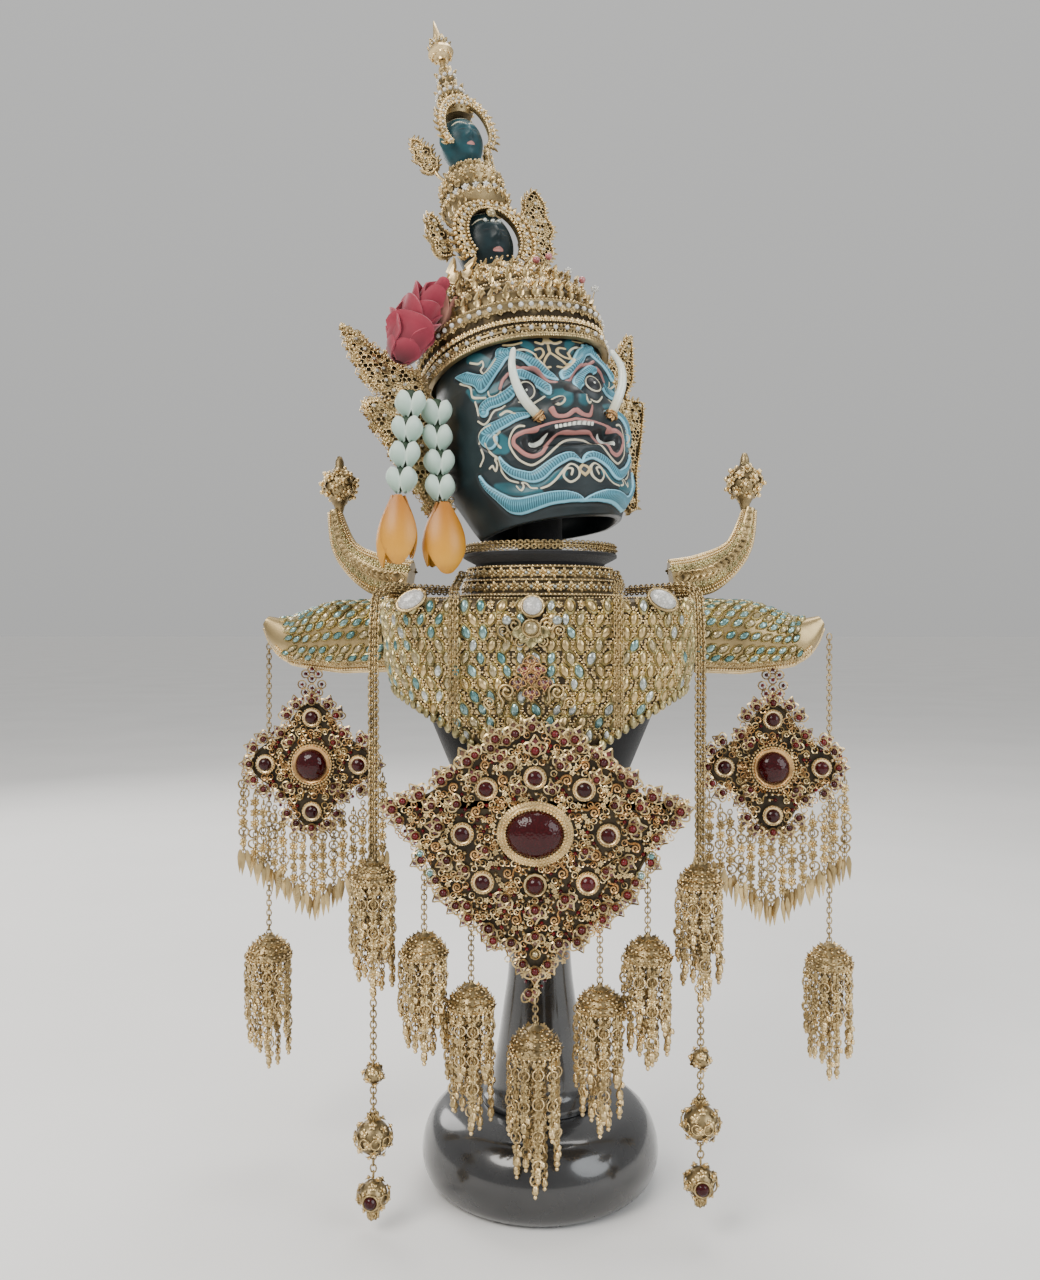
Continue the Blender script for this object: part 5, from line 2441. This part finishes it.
class Openwork:
    """A pendant's ornaments in one plane, facing the front."""

    def __init__(self, y):
        self.y = y
        self.sets = {}
        self.taken = []

    def put(self, shape, finish, x, z, size, angle=90.0, off=0.0, room=None):
        spots = self.sets.setdefault((shape, finish), Spots())
        a = math.radians(angle)
        spots.add((x, self.y - off, z), (0, -1, 0), (cos(a), 0, sin(a)), size)
        if room:
            self.taken.append((x, z, room))

    def bezel(self, x, z, stone, ring):
        """A round stone in a rim with a row of beads."""
        self.put("cabochon", "Garnet", x, z, stone, off=0.9)
        self.put("loop", "Pale gold", x, z, stone * 1.12, off=1.3)
        self.put("bezel_cup", "Aged gold", x, z, ring, room=ring + 0.4)
        for t in full_turn(int(ring * 4.2)):
            self.put("bead", "Pale gold", x + ring * 0.9 * cos(t), z + ring * 0.9 * sin(t), 0.62, off=1.1)

    def bud(self, x, z, angle, size, fill="Red enamel"):
        self.put("bud_wire", "Aged gold", x, z, size, angle, off=0.5, room=size * 0.5)
        self.put("bud_fill", fill, x, z, size * 0.92, angle, off=0.15)
        self.put("pearl", "Garnet beads", x, z, size * 0.3, off=1.0)
        a = math.radians(angle)
        self.taken.append((x + size * 0.7 * cos(a), z + size * 0.7 * sin(a), size * 0.35))

    def fill(self, outline, pitch, seed, kinds):
        """Fills what is left of the outline with rings, beads and curls."""
        chance = random.Random(seed)
        xs, zs = [p[0] for p in outline], [p[1] for p in outline]
        row, z = 0, min(zs)
        while z < max(zs):
            x = min(xs) + (row % 2) * pitch / 2
            while x < max(xs):
                jx, jz = x + chance.uniform(-0.3, 0.3), z + chance.uniform(-0.3, 0.3)
                free = all(math.hypot(jx - a, jz - b) > r + pitch * 0.3 for a, b, r in self.taken)
                if free and inside(outline, jx, jz):
                    shape, finish, size = kinds[chance.randrange(len(kinds))]
                    self.put(
                        shape, finish, jx, jz, size, chance.uniform(0, 360), off=chance.uniform(-0.2, 0.5)
                    )
                    self.taken.append((jx, jz, pitch * 0.36))
                x += pitch
            z += pitch * 0.87
            row += 1

    def build(self, name, slot, nodes, reach, wire, outline):
        obj = new_object(name + "_struts", *struts(self.taken, reach, wire, self.y + 0.4))
        settle(obj, slot, [], "Copper gold")
        outline = outline if signed_area(outline) > 0 else outline[::-1]
        plate = rimmed_plate(softened(inset_outline(outline, 4.0), 3, 0.2), 1.5, 0.8)
        plate = ([(x, y + self.y + 1.4, z) for x, y, z in plate[0]], plate[1])
        obj = new_object(name + "_back", *plate)
        outward(obj.data)
        settle(obj, slot, nodes, "Dark filigree ground", 40)
        for k, ((shape, finish), spots) in enumerate(self.sets.items()):
            label = f"{name}_{shape}_{finish.lower().replace(' ', '_')}"
            sharp = None if shape in ("pearl", "cabochon") else 50
            spots.build(label, shape, finish, slot, seed=70 + k, sharp=sharp)


def breast_outline():
    w, c, up, down = PENDANT_HALF_WIDTH, PENDANT_Z, PENDANT_RISE, PENDANT_DROP
    half = [
        (0, c + up), (w * 0.42, c + up * 0.74), (w * 0.7, c + up * 0.42), (w, c + up * 0.27),
        (w * 0.78, c - down * 0.12), (w * 0.62, c - down * 0.4), (w * 0.34, c - down * 0.66),
        (w * 0.12, c - down * 0.82), (0, c - down),
    ]
    left = [(-x, z) for x, z in half[1:-1]]
    return half + left[::-1]


def mirrored(x):
    """Both sides, or the one for what stands on the middle line."""
    return (-1, 1) if x else (1,)


def build_breast_pendant():
    work = Openwork(-64.2)
    c = PENDANT_Z
    for k in range(3):
        rx, rz = 13.2 + 1.5 * k, 10.9 + 1.5 * k
        for t in full_turn(int(pi * (rx + rz) / 1.5), 0.5 * k):
            work.put("bead", "Pale gold", rx * cos(t), c + rz * sin(t), 0.78, off=2.4 - 0.8 * k)
    stone = Spots()
    stone.add((0, -65.9, c), (0, -1, 0), (0, 0, 1), (12.6, 10.4, 7.4))
    stone.build("breast_garnet", "fine_cabochon", "Garnet", "garnet_glass", ["breast_stone"])
    seat = Spots()
    seat.add((0, -65.2, c), (0, -1, 0), (0, 0, 1), (13.6, 11.4, 8))
    seat.build("breast_garnet_rim", "loop", "Aged gold", "filigree_gilt")
    work.put("oval_cup", "Aged gold", 0, c, 1.0, room=12.5)
    work.taken += [(x, c, 12.5) for x in (-3.5, 3.5)]
    for x, z in ((0, 24.6), (21.6, 19.6), (32.2, -0.4), (23.2, -21.6)):
        for s in mirrored(x):
            work.bezel(s * x, c + z, 3.5, 5.2)
    work.put("cabochon", "Garnet", 0, c - 22.6, 4.0, off=0.8, room=5)
    work.put("loop", "Aged gold", 0, c - 22.6, 4.8, off=0.9)
    buds = [
        (0, 36.5, 90, 6.2), (8.8, 44.0, 78, 5.6), (17.5, 41.6, 64, 5.8), (30, 31.6, 58, 6.2),
        (41.5, 23, 56, 5.8), (51.3, 16.6, 48, 5.8),
        (63.5, 10.2, 16, 5.6), (11, 30, 60, 5.0), (34.8, 12.8, 20, 4.8), (42.7, 2.6, 8, 5.6),
        (7.6, 18.8, 100, 4.2), (53, -1.5, -20, 5.0),
        (39, -12, -30, 5.2), (22, -7.4, -50, 4.4), (40.5, -26.4, -40, 5.6), (30, -32, -40, 5.2),
        (13.2, -28.5, -52, 5.6), (0, -33.5, -90, 5.6),
        (20.5, -42, -62, 5.8), (10.5, -48, -78, 5.4), (0, -45, -90, 5.0), (27, 24, 70, 4.6),
        (46, 12, 30, 4.6), (0, -60.5, -90, 5.4),
        (15.5, 33.5, 66, 4.4), (31, -16, -35, 4.4), (50.5, -12, -30, 5.0),
    ]
    for x, z, angle, size in buds:
        for s in mirrored(x):
            work.bud(s * x, c + z, angle if s > 0 else 180 - angle, size)
    for x, z, size, angle in (
        (14, 23.5, 4.2, 40), (26, 9.5, 4.2, 10), (26.5, -9.5, 4.2, -30), (12, -17.5, 4.0, -60),
        (36, 20, 3.8, 60), (22, 30, 3.8, 50), (44, -6, 3.8, -10), (34.5, -24, 3.8, -30),
        (8.5, -38, 3.8, -90),
    ):
        for s in (-1, 1):
            turn = angle if s > 0 else 180 - angle
            work.put("spiral", "Copper gold", s * x, c + z, size, turn, off=0.4, room=size * 0.6)
    for x, z in ((51, -9.5), (0, -53), (46.5, -18)):
        for s in mirrored(x):
            work.put("pearl", "Teal stones", s * x, c + z, 1.5, off=0.6, room=2.2)
            work.put("fine_loop", "Aged gold", s * x, c + z, 2.3, off=0.4)
    kinds = [
        ("fine_loop", "Aged gold", 1.4), ("bead", "Pale gold", 0.9), ("fine_loop", "Pale gold", 1.3),
        ("small_rosette", "Aged gold", 1.5), ("bead", "Garnet beads", 0.95),
        ("fine_loop", "Copper gold", 1.35), ("bead", "Aged gold", 1.0),
    ]
    edge = [Vector((x, 0, z)) for x, z in breast_outline()]
    for p, along in evenly(edge, spacing=7.6):
        out = Vector((p.x, 0, p.z - c)).normalized() if abs(p.x) < 60 else Vector((
            math.copysign(1, p.x), 0, 0
        ))
        flat = Vector((along.z, 0, -along.x))
        flat = flat if flat.dot(out) > 0 else -flat
        way = (out + flat).normalized()
        q = p - flat * 3.4
        if all(math.hypot(q.x - a, q.z - b) > r + 1.2 for a, b, r in work.taken):
            work.bud(q.x, q.z, math.degrees(math.atan2(way.z, way.x)), 4.8)
    work.fill(breast_outline(), 2.7, 9, kinds)
    work.build(
        "breast_pendant", "filigree_gilt", ["breast_pendant"], 1.3, 0.34, softened(breast_outline(), 5, 0.4)
    )


def build_side_pendants():
    for side, word in SIDES:
        cx, cz, r = side * SIDE_X, SIDE_Z, SIDE_R
        work = Openwork(-3.2)
        stone = Spots()
        stone.add((cx, -5.0, cz), (0, -1, 0), (0, 0, 1), (7.9, 7.9, 6.2))
        stone.build(
            "side_garnet_" + word, "fine_cabochon", "Garnet", "garnet_glass", ["side_stone_" + word]
        )
        work.put("loop", "Copper gold", cx, cz, 8.8, off=1.6)
        work.put("bezel_cup", "Aged gold", cx, cz, 10.4, room=10.4)
        for ring, size in ((9.9, 0.8), (11.3, 0.7)):
            for t in full_turn(int(2 * pi * ring / 1.6)):
                work.put("bead", "Pale gold", cx + ring * cos(t), cz + ring * sin(t), size, off=1.4)
        quarters = [pi / 2 * k for k in range(4)]
        for t in quarters:
            work.bezel(cx + 23.6 * cos(t), cz + 23.6 * sin(t), 3.5, 5.0)
        for t in quarters:
            for da, reach in ((0, 31.8), (15, 30.5), (-15, 30.5), (27, 27.5), (-27, 27.5)):
                a = t + math.radians(da)
                work.bud(cx + reach * cos(a), cz + reach * sin(a), math.degrees(a), 4.9)
            a = t + pi / 4
            for reach, size in ((15.6, 4.4), (22.0, 4.6)):
                work.bud(cx + reach * cos(a), cz + reach * sin(a), math.degrees(a), size)
            for sign in (-1, 1):
                a = t + sign * math.radians(22)
                work.put(
                    "spiral", "Aged gold", cx + 17.5 * cos(a), cz + 17.5 * sin(a), 3.2, math.degrees(a),
                    off=0.4, room=2,
                )
        outline = []
        for t in full_turn(64):
            k = r * (0.84 + 0.13 * cos(4 * t))
            outline.append((cx + k * cos(t), cz + k * sin(t)))
        kinds = [
            ("fine_loop", "Aged gold", 1.6), ("bead", "Pale gold", 0.95), ("fine_loop", "Copper gold", 1.5),
            ("bead", "Garnet beads", 1.0), ("fine_loop", "Pale gold", 1.4),
        ]
        work.fill(outline, 2.8, 19 + side, kinds)
        for dx, z in (
            (0, 237), (-3.4, 239.2), (3.4, 239.2), (0, 241.4), (-5, 243.2), (5, 243.2), (0, 246),
            (-3.2, 248.4), (3.2, 248.4), (0, 251),
        ):
            work.put("fine_loop", "Aged gold", cx + dx, z, 2.2, off=0.3, room=2.1)
            work.put("bead", "Garnet beads", cx + dx, z, 1.1, off=0.6)
        work.build("side_pendant_" + word, "filigree_gilt", ["side_pendant_" + word], 1.4, 0.32, outline)
        build_fringe(word, side, cx, cz, r)


def build_fringe(word, side, cx, cz, r):
    """The dense fringe of short chains that end in narrow leaves."""
    chance = random.Random(5 + side)
    lines, leaves, bells, rings = [], Spots(), Spots(), Spots()
    for i in range(15):
        dx = lerp(-r * 0.97, r * 0.97, i / 14)
        share = abs(dx) / r
        top = cz - r * 0.8 * math.sqrt(max(0.02, 1 - share**2.2)) + 2
        low = cz - r * 0.62 - 58 * (1 - 0.42 * share)
        y = -1.2 + 2.2 * (i % 2) + chance.uniform(-0.6, 0.6)
        end = low + 12.2
        lines.append([Vector((cx + dx, y, z)) for z in np.linspace(top, end, 12)])
        z = top - 5
        while z > end + 2:
            kind = chance.random()
            if kind < 0.45:
                rings.add(
                    (cx + dx + chance.uniform(-1, 1), y - 0.9, z), (0.2 * chance.uniform(-1, 1), -1, 0),
                    (0, 0, 1), 2.5,
                )
            else:
                bells.add((cx + dx, y - 0.9, z), (0.5 * chance.uniform(-1, 1), -1, 0.1), (0, 0, 1), 2.7)
            z -= chance.uniform(4.2, 5.6)
        for k in range(3):
            shift = Vector(((k - 1) * 2.0, chance.uniform(-1, 1), -1.2 * (k == 1)))
            length = 11.5
            leaves.add(
                Vector((cx + dx, y, low + length + 1.6)) + shift, (0.5 * chance.uniform(-1, 1), -1, 0),
                (0.06 * (1 - k), 0, 1), (5.8, length, 6),
            )
    hang_chain("fringe_chains_" + word, lines, 2.9, 2.1, 0.38, slot="filigree_gilt")
    rings.build("fringe_rings_" + word, "fine_loop", "Aged gold", "filigree_gilt", tilt=0.4, seed=81)
    bells.build(
        "fringe_flowers_" + word, "rosette", "Aged gold", "filigree_gilt", tilt=0.3, seed=82, sharp=50
    )
    leaves.build(
        "fringe_leaves_" + word, "leaf_drop", "Aged gold", "filigree_gilt", tilt=0.12, seed=83, sharp=40
    )


# Tassels and drops


def tassel(name, x, y, top, bottom, cap, hook, seed):
    chance = random.Random(seed)
    high = cap * 1.15
    profile = [
        (0.001, top), (1.0, top), (1.4, top - 1), (cap * 0.3, top - high * 0.16),
        (cap * 0.62, top - high * 0.4), (cap * 0.86, top - high * 0.7), (cap, top - high),
        (cap * 0.93, top - high - 0.4), (cap * 0.5, top - high * 0.62), (0.001, top - high * 0.5),
    ]
    turned(name + "_cap", profile, "Gilded relief", "gilt_brass", [name], 28, WORLD, 45, (x, y, 0))
    petals, beads, roses, loops, drops, tips = spot_sets(6)
    centre = (x, y)
    for share, r, size, count in (
        (0.2, 0.4, 1.7, 8), (0.42, 0.68, 2.0, 12), (0.66, 0.88, 2.1, 16), (0.9, 1.0, 1.9, 20)
    ):
        row_on(roses, circle_at(cap * r, top - high * share, centre, 36), count, size * 1.1, 40)
    for share, r, count in ((0.3, 0.54, 12), (0.55, 0.79, 18), (0.79, 0.96, 24)):
        row_on(beads, circle_at(cap * r + 0.3, top - high * share, centre, 48), count, 0.72)
    row_on(beads, circle_at(cap * 1.0, top - high, centre, 48), 30, 0.75)
    row_on(beads, circle_at(cap * 0.68, top - high * 0.46, centre, 48), 20, 0.6)
    row_on(petals, circle_at(cap * 0.98, top - high - 0.3, centre, 48), 15, 3.4, 10, "down")
    lines = []
    if hook > top + 1:
        lines.append([Vector((x, y, z)) for z in np.linspace(hook, top - 0.5, 16)])
    for k in range(16):
        a = 2 * pi * k / 11 + 0.3 if k < 11 else 2 * pi * k / 4 + 0.5
        reach = cap * (0.9 + 0.14 * (k % 2)) if k < 11 else 0 if k == 15 else cap * 0.42
        px, py = x + reach * cos(a), y + reach * sin(a) * 0.85
        start = top - high * (0.95 if reach > cap / 2 else 0.7)
        share = 1.0 if not reach else (
            0.86, 0.6, 0.74, 0.52
        )[k % 4] + chance.uniform(-0.05, 0.05) + (0.1 if k > 10 else 0)
        end = lerp(start, bottom, share) + 4.4
        lines.append([Vector((px, py, z)) for z in np.linspace(start, end, 14)])
        z = start - 4.0
        step = 0
        out = Vector((cos(a), sin(a) - 0.6, 0))
        while z > end + 2:
            if step % 3 == 1:
                loops.add((px, py, z), out, (0, 0, 1), 2.5)
            else:
                roses.add((px, py - 0.5, z), out + Vector((0, 0, 0.2)), (0, 0, 1), 2.4)
            z -= chance.uniform(3.8, 5.0)
            step += 1
        drops.add((px, py, end - 1.0), (0, 0, 1), (0, 1, 0), 2.4)
        beads.add((px, py, end - 3.6), (0, 0, 1), (0, 1, 0), 1.1)
        tips.add((px, py - 0.3, end + 2.4), out, (0, 0, -1), 4.2)
        tips.add((px + 1.0, py - 0.5, end + 5.0), out, (0.5, 0, -1), 3.6)
    hang_chain(name + "_links", lines, 3.2, 2.3, 0.42)
    petals.build(name + "_petals", "flat_petal", "Aged gold", "gilt_brass", tilt=0.1, seed=seed)
    beads.build(name + "_beads", "bead", "Pale gold", "gilt_brass")
    roses.build(
        name + "_rosettes", "small_rosette", "Aged gold", "gilt_brass", tilt=0.35, seed=seed + 1, sharp=50
    )
    loops.build(name + "_rings", "fine_loop", "Pale gold", "gilt_brass", tilt=0.3, seed=seed + 2)
    drops.build(name + "_drops", "drop", "Aged gold", "gilt_brass")
    tips.build(name + "_leaves", "flat_petal", "Pale gold", "gilt_brass", tilt=0.2, seed=seed + 3)


# Each kind of tassel: length, radius of its cap, distance from the middle and depth
TASSELS = {
    "centre": (78, 11.0, 0, -62.0),
    "inner": (68, 10.0, 28.49, -62.0),
    "middle": (60, 10.0, 49.49, -62.0),
    "outer": (64, 9.5, OUTER_CHAIN_X, CHAIN_Y),
    "end": (69, 11.0, None, END_CHAIN_Y),
}


def build_tassels():
    pairs = [f"tassel_{kind}_{word}" for kind in ("inner", "middle", "outer", "end") for _, word in SIDES]
    for k, node in enumerate(["tassel_centre", *pairs]):
        low, high = (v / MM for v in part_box(node))
        side = -1 if node.endswith("left") else 1
        length, cap, x, y = TASSELS[node.split("_")[1]]
        x = END_CHAIN_X[side] if x is None else side * x
        tassel(node, x, y, low.z + length, low.z, cap, high.z, 100 + 10 * k)


def build_drops():
    for side, word in SIDES:
        x, y, ball = side * OUTER_CHAIN_X, CHAIN_Y, 9.5
        end = 5.0 + (0 if side < 0 else ball * 1.05)
        height = lambda h: end + h * ball
        line = [
            [Vector((x, y, z)) for z in np.linspace(103, height(4.9), 20)],
            [Vector((x, y, z)) for z in np.linspace(height(3.1), height(2.2), 6)],
        ]
        hang_chain("drop_links_" + word, line, 3.6, 2.6, 0.48, ["chain_drop_" + word])
        roses, beads, gems, petals, rings = spot_sets(5)
        for h, r, count in ((4.0, 8.2, 30), (1.25, 6.9, 24), (6.95, 4.4, 12)):
            centre = Vector((x, y, height(h)))
            for n in sphere_directions(count):
                roses.add(centre + n * r, n, (0, 0, 1), 2.2)
                beads.add(centre + n * (r + 0.7), n, (0, 0, 1), 0.85)
            for a in full_turn(10) if r > 5 else ():
                rings.add(
                    centre + Vector((r * 1.02 * cos(a), r * 1.02 * sin(a), 0)), (cos(a), sin(a), 0),
                    (0, 0, 1), 2.2,
                )
            core = [
                (0.001, -r * 0.96),
                *[(r * 0.93 * sin(pi * i / 12), -r * 0.93 * cos(pi * i / 12)) for i in range(1, 12)],
                (0.001, r * 0.96),
            ]
            turned(
                f"drop_ball_{word}_{int(h)}", core, "Gilded relief", "gilt_brass", [], 24, WORLD, None,
                centre,
            )
        gems.add((x, y - 7.4, height(1.25)), (0, -1, 0), (0, 0, 1), 2.9)
        rings.add((x, y - 7.6, height(1.25)), (0, -1, 0), (0, 0, 1), 3.4)
        for out in spokes(8):
            petals.add(
                Vector((x, y, height(0.62))) + out * 2.6, out + Vector((0, 0, -0.4)),
                out * 0.3 - Vector((0, 0, 1)), 4.6,
            )
            petals.add(Vector((x, y, height(4.75))) + out * 1.6, out, out * 0.5 + Vector((0, 0, 1)), 3.6)
        roses.build(
            "drop_rosettes_" + word, "small_rosette", "Aged gold", "gilt_brass", tilt=0.2, seed=91, sharp=50
        )
        beads.build("drop_beads_" + word, "bead", "Pale gold", "gilt_brass")
        gems.build("drop_garnet_" + word, "cabochon", "Garnet", "gilt_brass")
        rings.build("drop_rings_" + word, "loop", "Aged gold", "gilt_brass")
        petals.build("drop_petals_" + word, "petal", "Aged gold", "gilt_brass", tilt=0.1, seed=92)


# Settings, operators and panel


class KhonPaint(bpy.types.PropertyGroup):
    ground: bpy.props.FloatVectorProperty(
        name="Dark ground", description="Lacquer under the paint", subtype="COLOR",
        default=(0.005, 0.01, 0.012), min=0, max=1,
    )
    teal: bpy.props.FloatVectorProperty(
        name="Teal", description="Leaves and hollows of the face", subtype="COLOR",
        default=(0.02, 0.12, 0.15), min=0, max=1,
    )
    roll: bpy.props.FloatVectorProperty(
        name="Light blue", description="Striped rolls of the face", subtype="COLOR",
        default=(0.11, 0.38, 0.5), min=0, max=1,
    )
    cream: bpy.props.FloatVectorProperty(
        name="Cream", description="Thin drawn lines", subtype="COLOR", default=(0.6, 0.55, 0.4), min=0,
        max=1,
    )
    pink: bpy.props.FloatVectorProperty(
        name="Lip pink", description="Lips and accents", subtype="COLOR", default=(0.4, 0.17, 0.15), min=0,
        max=1,
    )
    gold: bpy.props.FloatVectorProperty(
        name="Gold paint", description="Gold lines of the brow and chin", subtype="COLOR",
        default=(0.52, 0.4, 0.2), min=0, max=1,
    )
    columns: bpy.props.IntProperty(
        name="Columns", description="Points across the face", default=330, min=80, max=400
    )
    rows: bpy.props.IntProperty(name="Rows", description="Points up the face", default=205, min=60, max=240)


class KhonGilding(bpy.types.PropertyGroup):
    bright: bpy.props.FloatVectorProperty(
        name="Bright gold", description="Gilding on edges", subtype="COLOR", default=(0.66, 0.49, 0.24),
        min=0, max=1,
    )
    dark: bpy.props.FloatVectorProperty(
        name="Dark gold", description="Gilding in hollows", subtype="COLOR", default=(0.05, 0.033, 0.013),
        min=0, max=1,
    )
    wear: bpy.props.FloatProperty(
        name="Wear", description="How much of the gilding has dulled", subtype="FACTOR", default=0.5, min=0,
        max=1,
    )


class KhonStage(bpy.types.PropertyGroup):
    floor: bpy.props.FloatVectorProperty(
        name="Floor", description="Pale studio floor", subtype="COLOR", default=(0.86, 0.85, 0.835), min=0,
        max=1,
    )
    backdrop: bpy.props.FloatVectorProperty(
        name="Backdrop", description="Light of the room", subtype="COLOR", default=(0.8, 0.8, 0.79), min=0,
        max=1,
    )
    horizon: bpy.props.FloatProperty(
        name="Horizon", description="Share of the room's light at floor level", subtype="FACTOR",
        default=0.8, min=0, max=1,
    )
    ambient: bpy.props.FloatProperty(
        name="Ambient", description="Strength of the room's light", default=0.8, min=0, max=3
    )
    light: bpy.props.FloatProperty(
        name="Studio light", description="Power of the main soft light", subtype="POWER", unit="POWER",
        default=22.0, min=0, max=200,
    )


class KHON_OT_workshop(bpy.types.Operator):
    """Makes the materials, the node trees and the small shapes that the pieces repeat"""

    bl_idname = "khon.workshop"
    bl_label = "Workshop"

    def execute(self, context):
        scene = context.scene
        build_finishes(scene.khon_paint, scene.khon_gilding, scene.khon_stage)
        TREES.update(ornaments=ornament_tree(), chain=chain_tree(), turned=turned_tree())
        SHAPES.update({name: shape_object(name, *maker()) for name, maker in SHAPE_MAKERS.items()})
        return {"FINISHED"}


class KHON_OT_stage(bpy.types.Operator):
    """Sets the floor, the soft lights and the camera"""

    bl_idname = "khon.stage"
    bl_label = "Stage"

    def execute(self, context):
        build_stage(context.scene.khon_stage)
        return {"FINISHED"}


class KHON_OT_stand(bpy.types.Operator):
    """Turns the lacquered foot and pillar and makes the velvet bust"""

    bl_idname = "khon.stand"
    bl_label = "Stand"

    def execute(self, context):
        build_stand()
        return {"FINISHED"}


class KHON_OT_mask(bpy.types.Operator):
    """Models and paints the ogre face, with its tusks"""

    bl_idname = "khon.mask"
    bl_label = "Mask"

    def execute(self, context):
        build_face(context.scene.khon_paint)
        build_tusks()
        return {"FINISHED"}


class KHON_OT_crown(bpy.types.Operator):
    """Builds the crown's rim, its tiers, spire and finial, and the small heads in their niches"""

    bl_idname = "khon.crown"
    bl_label = "Crown"

    def execute(self, context):
        build_crown()
        small_head("middle_head", 15.0, 109.55, 1.35)
        small_head("upper_head", 11.5, 171.95, 1.3)
        build_niches()
        build_tiers()
        return {"FINISHED"}


class KHON_OT_leaves(bpy.types.Operator):
    """Sets the flame leaves of the crown and the ear ornaments"""

    bl_idname = "khon.leaves"
    bl_label = "Leaves and ear ornaments"

    def execute(self, context):
        build_leaves()
        build_ears()
        return {"FINISHED"}


class KHON_OT_garland(bpy.types.Operator):
    """Makes the rose, the strings of crown flowers and the champak petals"""

    bl_idname = "khon.garland"
    bl_label = "Garland"

    def execute(self, context):
        build_garland()
        return {"FINISHED"}


class KHON_OT_collar(bpy.types.Operator):
    """Lays the scales and stones of the collar and its neckband"""

    bl_idname = "khon.collar"
    bl_label = "Collar and neckband"

    def execute(self, context):
        build_collar()
        return {"FINISHED"}


class KHON_OT_wings(bpy.types.Operator):
    """Shapes the shoulder wings and their knobs"""

    bl_idname = "khon.wings"
    bl_label = "Shoulder wings"

    def execute(self, context):
        build_wings()
        return {"FINISHED"}


class KHON_OT_pendants(bpy.types.Operator):
    """Assembles the openwork breast pendant and side pendants"""

    bl_idname = "khon.pendants"
    bl_label = "Pendants"

    def execute(self, context):
        build_breast_pendant()
        build_side_pendants()
        return {"FINISHED"}


class KHON_OT_chains(bpy.types.Operator):
    """Hangs the chains, the tassels and the long drops"""

    bl_idname = "khon.chains"
    bl_label = "Chains and tassels"

    def execute(self, context):
        build_chains()
        build_tassels()
        build_drops()
        return {"FINISHED"}


OPERATORS = (
    KHON_OT_workshop,
    KHON_OT_stage,
    KHON_OT_stand,
    KHON_OT_mask,
    KHON_OT_crown,
    KHON_OT_leaves,
    KHON_OT_garland,
    KHON_OT_collar,
    KHON_OT_wings,
    KHON_OT_pendants,
    KHON_OT_chains,
)


class KHON_PT_panel(bpy.types.Panel):
    """Lists the steps that dress the khon mask"""

    bl_idname = "KHON_PT_panel"
    bl_label = "Khon Mask"
    bl_space_type = "VIEW_3D"
    bl_region_type = "UI"
    bl_category = "Khon Mask"

    def draw(self, context):
        for group in (context.scene.khon_paint, context.scene.khon_gilding, context.scene.khon_stage):
            box = self.layout.box()
            for name in group.__annotations__:
                box.prop(group, name)
        for operator in OPERATORS:
            self.layout.operator(operator.bl_idname)


GROUPS = {"khon_paint": KhonPaint, "khon_gilding": KhonGilding, "khon_stage": KhonStage}


def register():
    for cls in (*GROUPS.values(), *OPERATORS, KHON_PT_panel):
        bpy.utils.register_class(cls)
    for name, cls in GROUPS.items():
        setattr(bpy.types.Scene, name, bpy.props.PointerProperty(type=cls))


def unregister():
    for name in GROUPS:
        delattr(bpy.types.Scene, name)
    for cls in (KHON_PT_panel, *reversed(OPERATORS), *reversed(GROUPS.values())):
        bpy.utils.unregister_class(cls)


def main():
    register()
    for operator in OPERATORS:
        group, name = operator.bl_idname.split(".")
        getattr(getattr(bpy.ops, group), name)()
    for shape in SHAPES.values():
        bpy.data.objects.remove(shape)


if __name__ == "__main__":
    main()
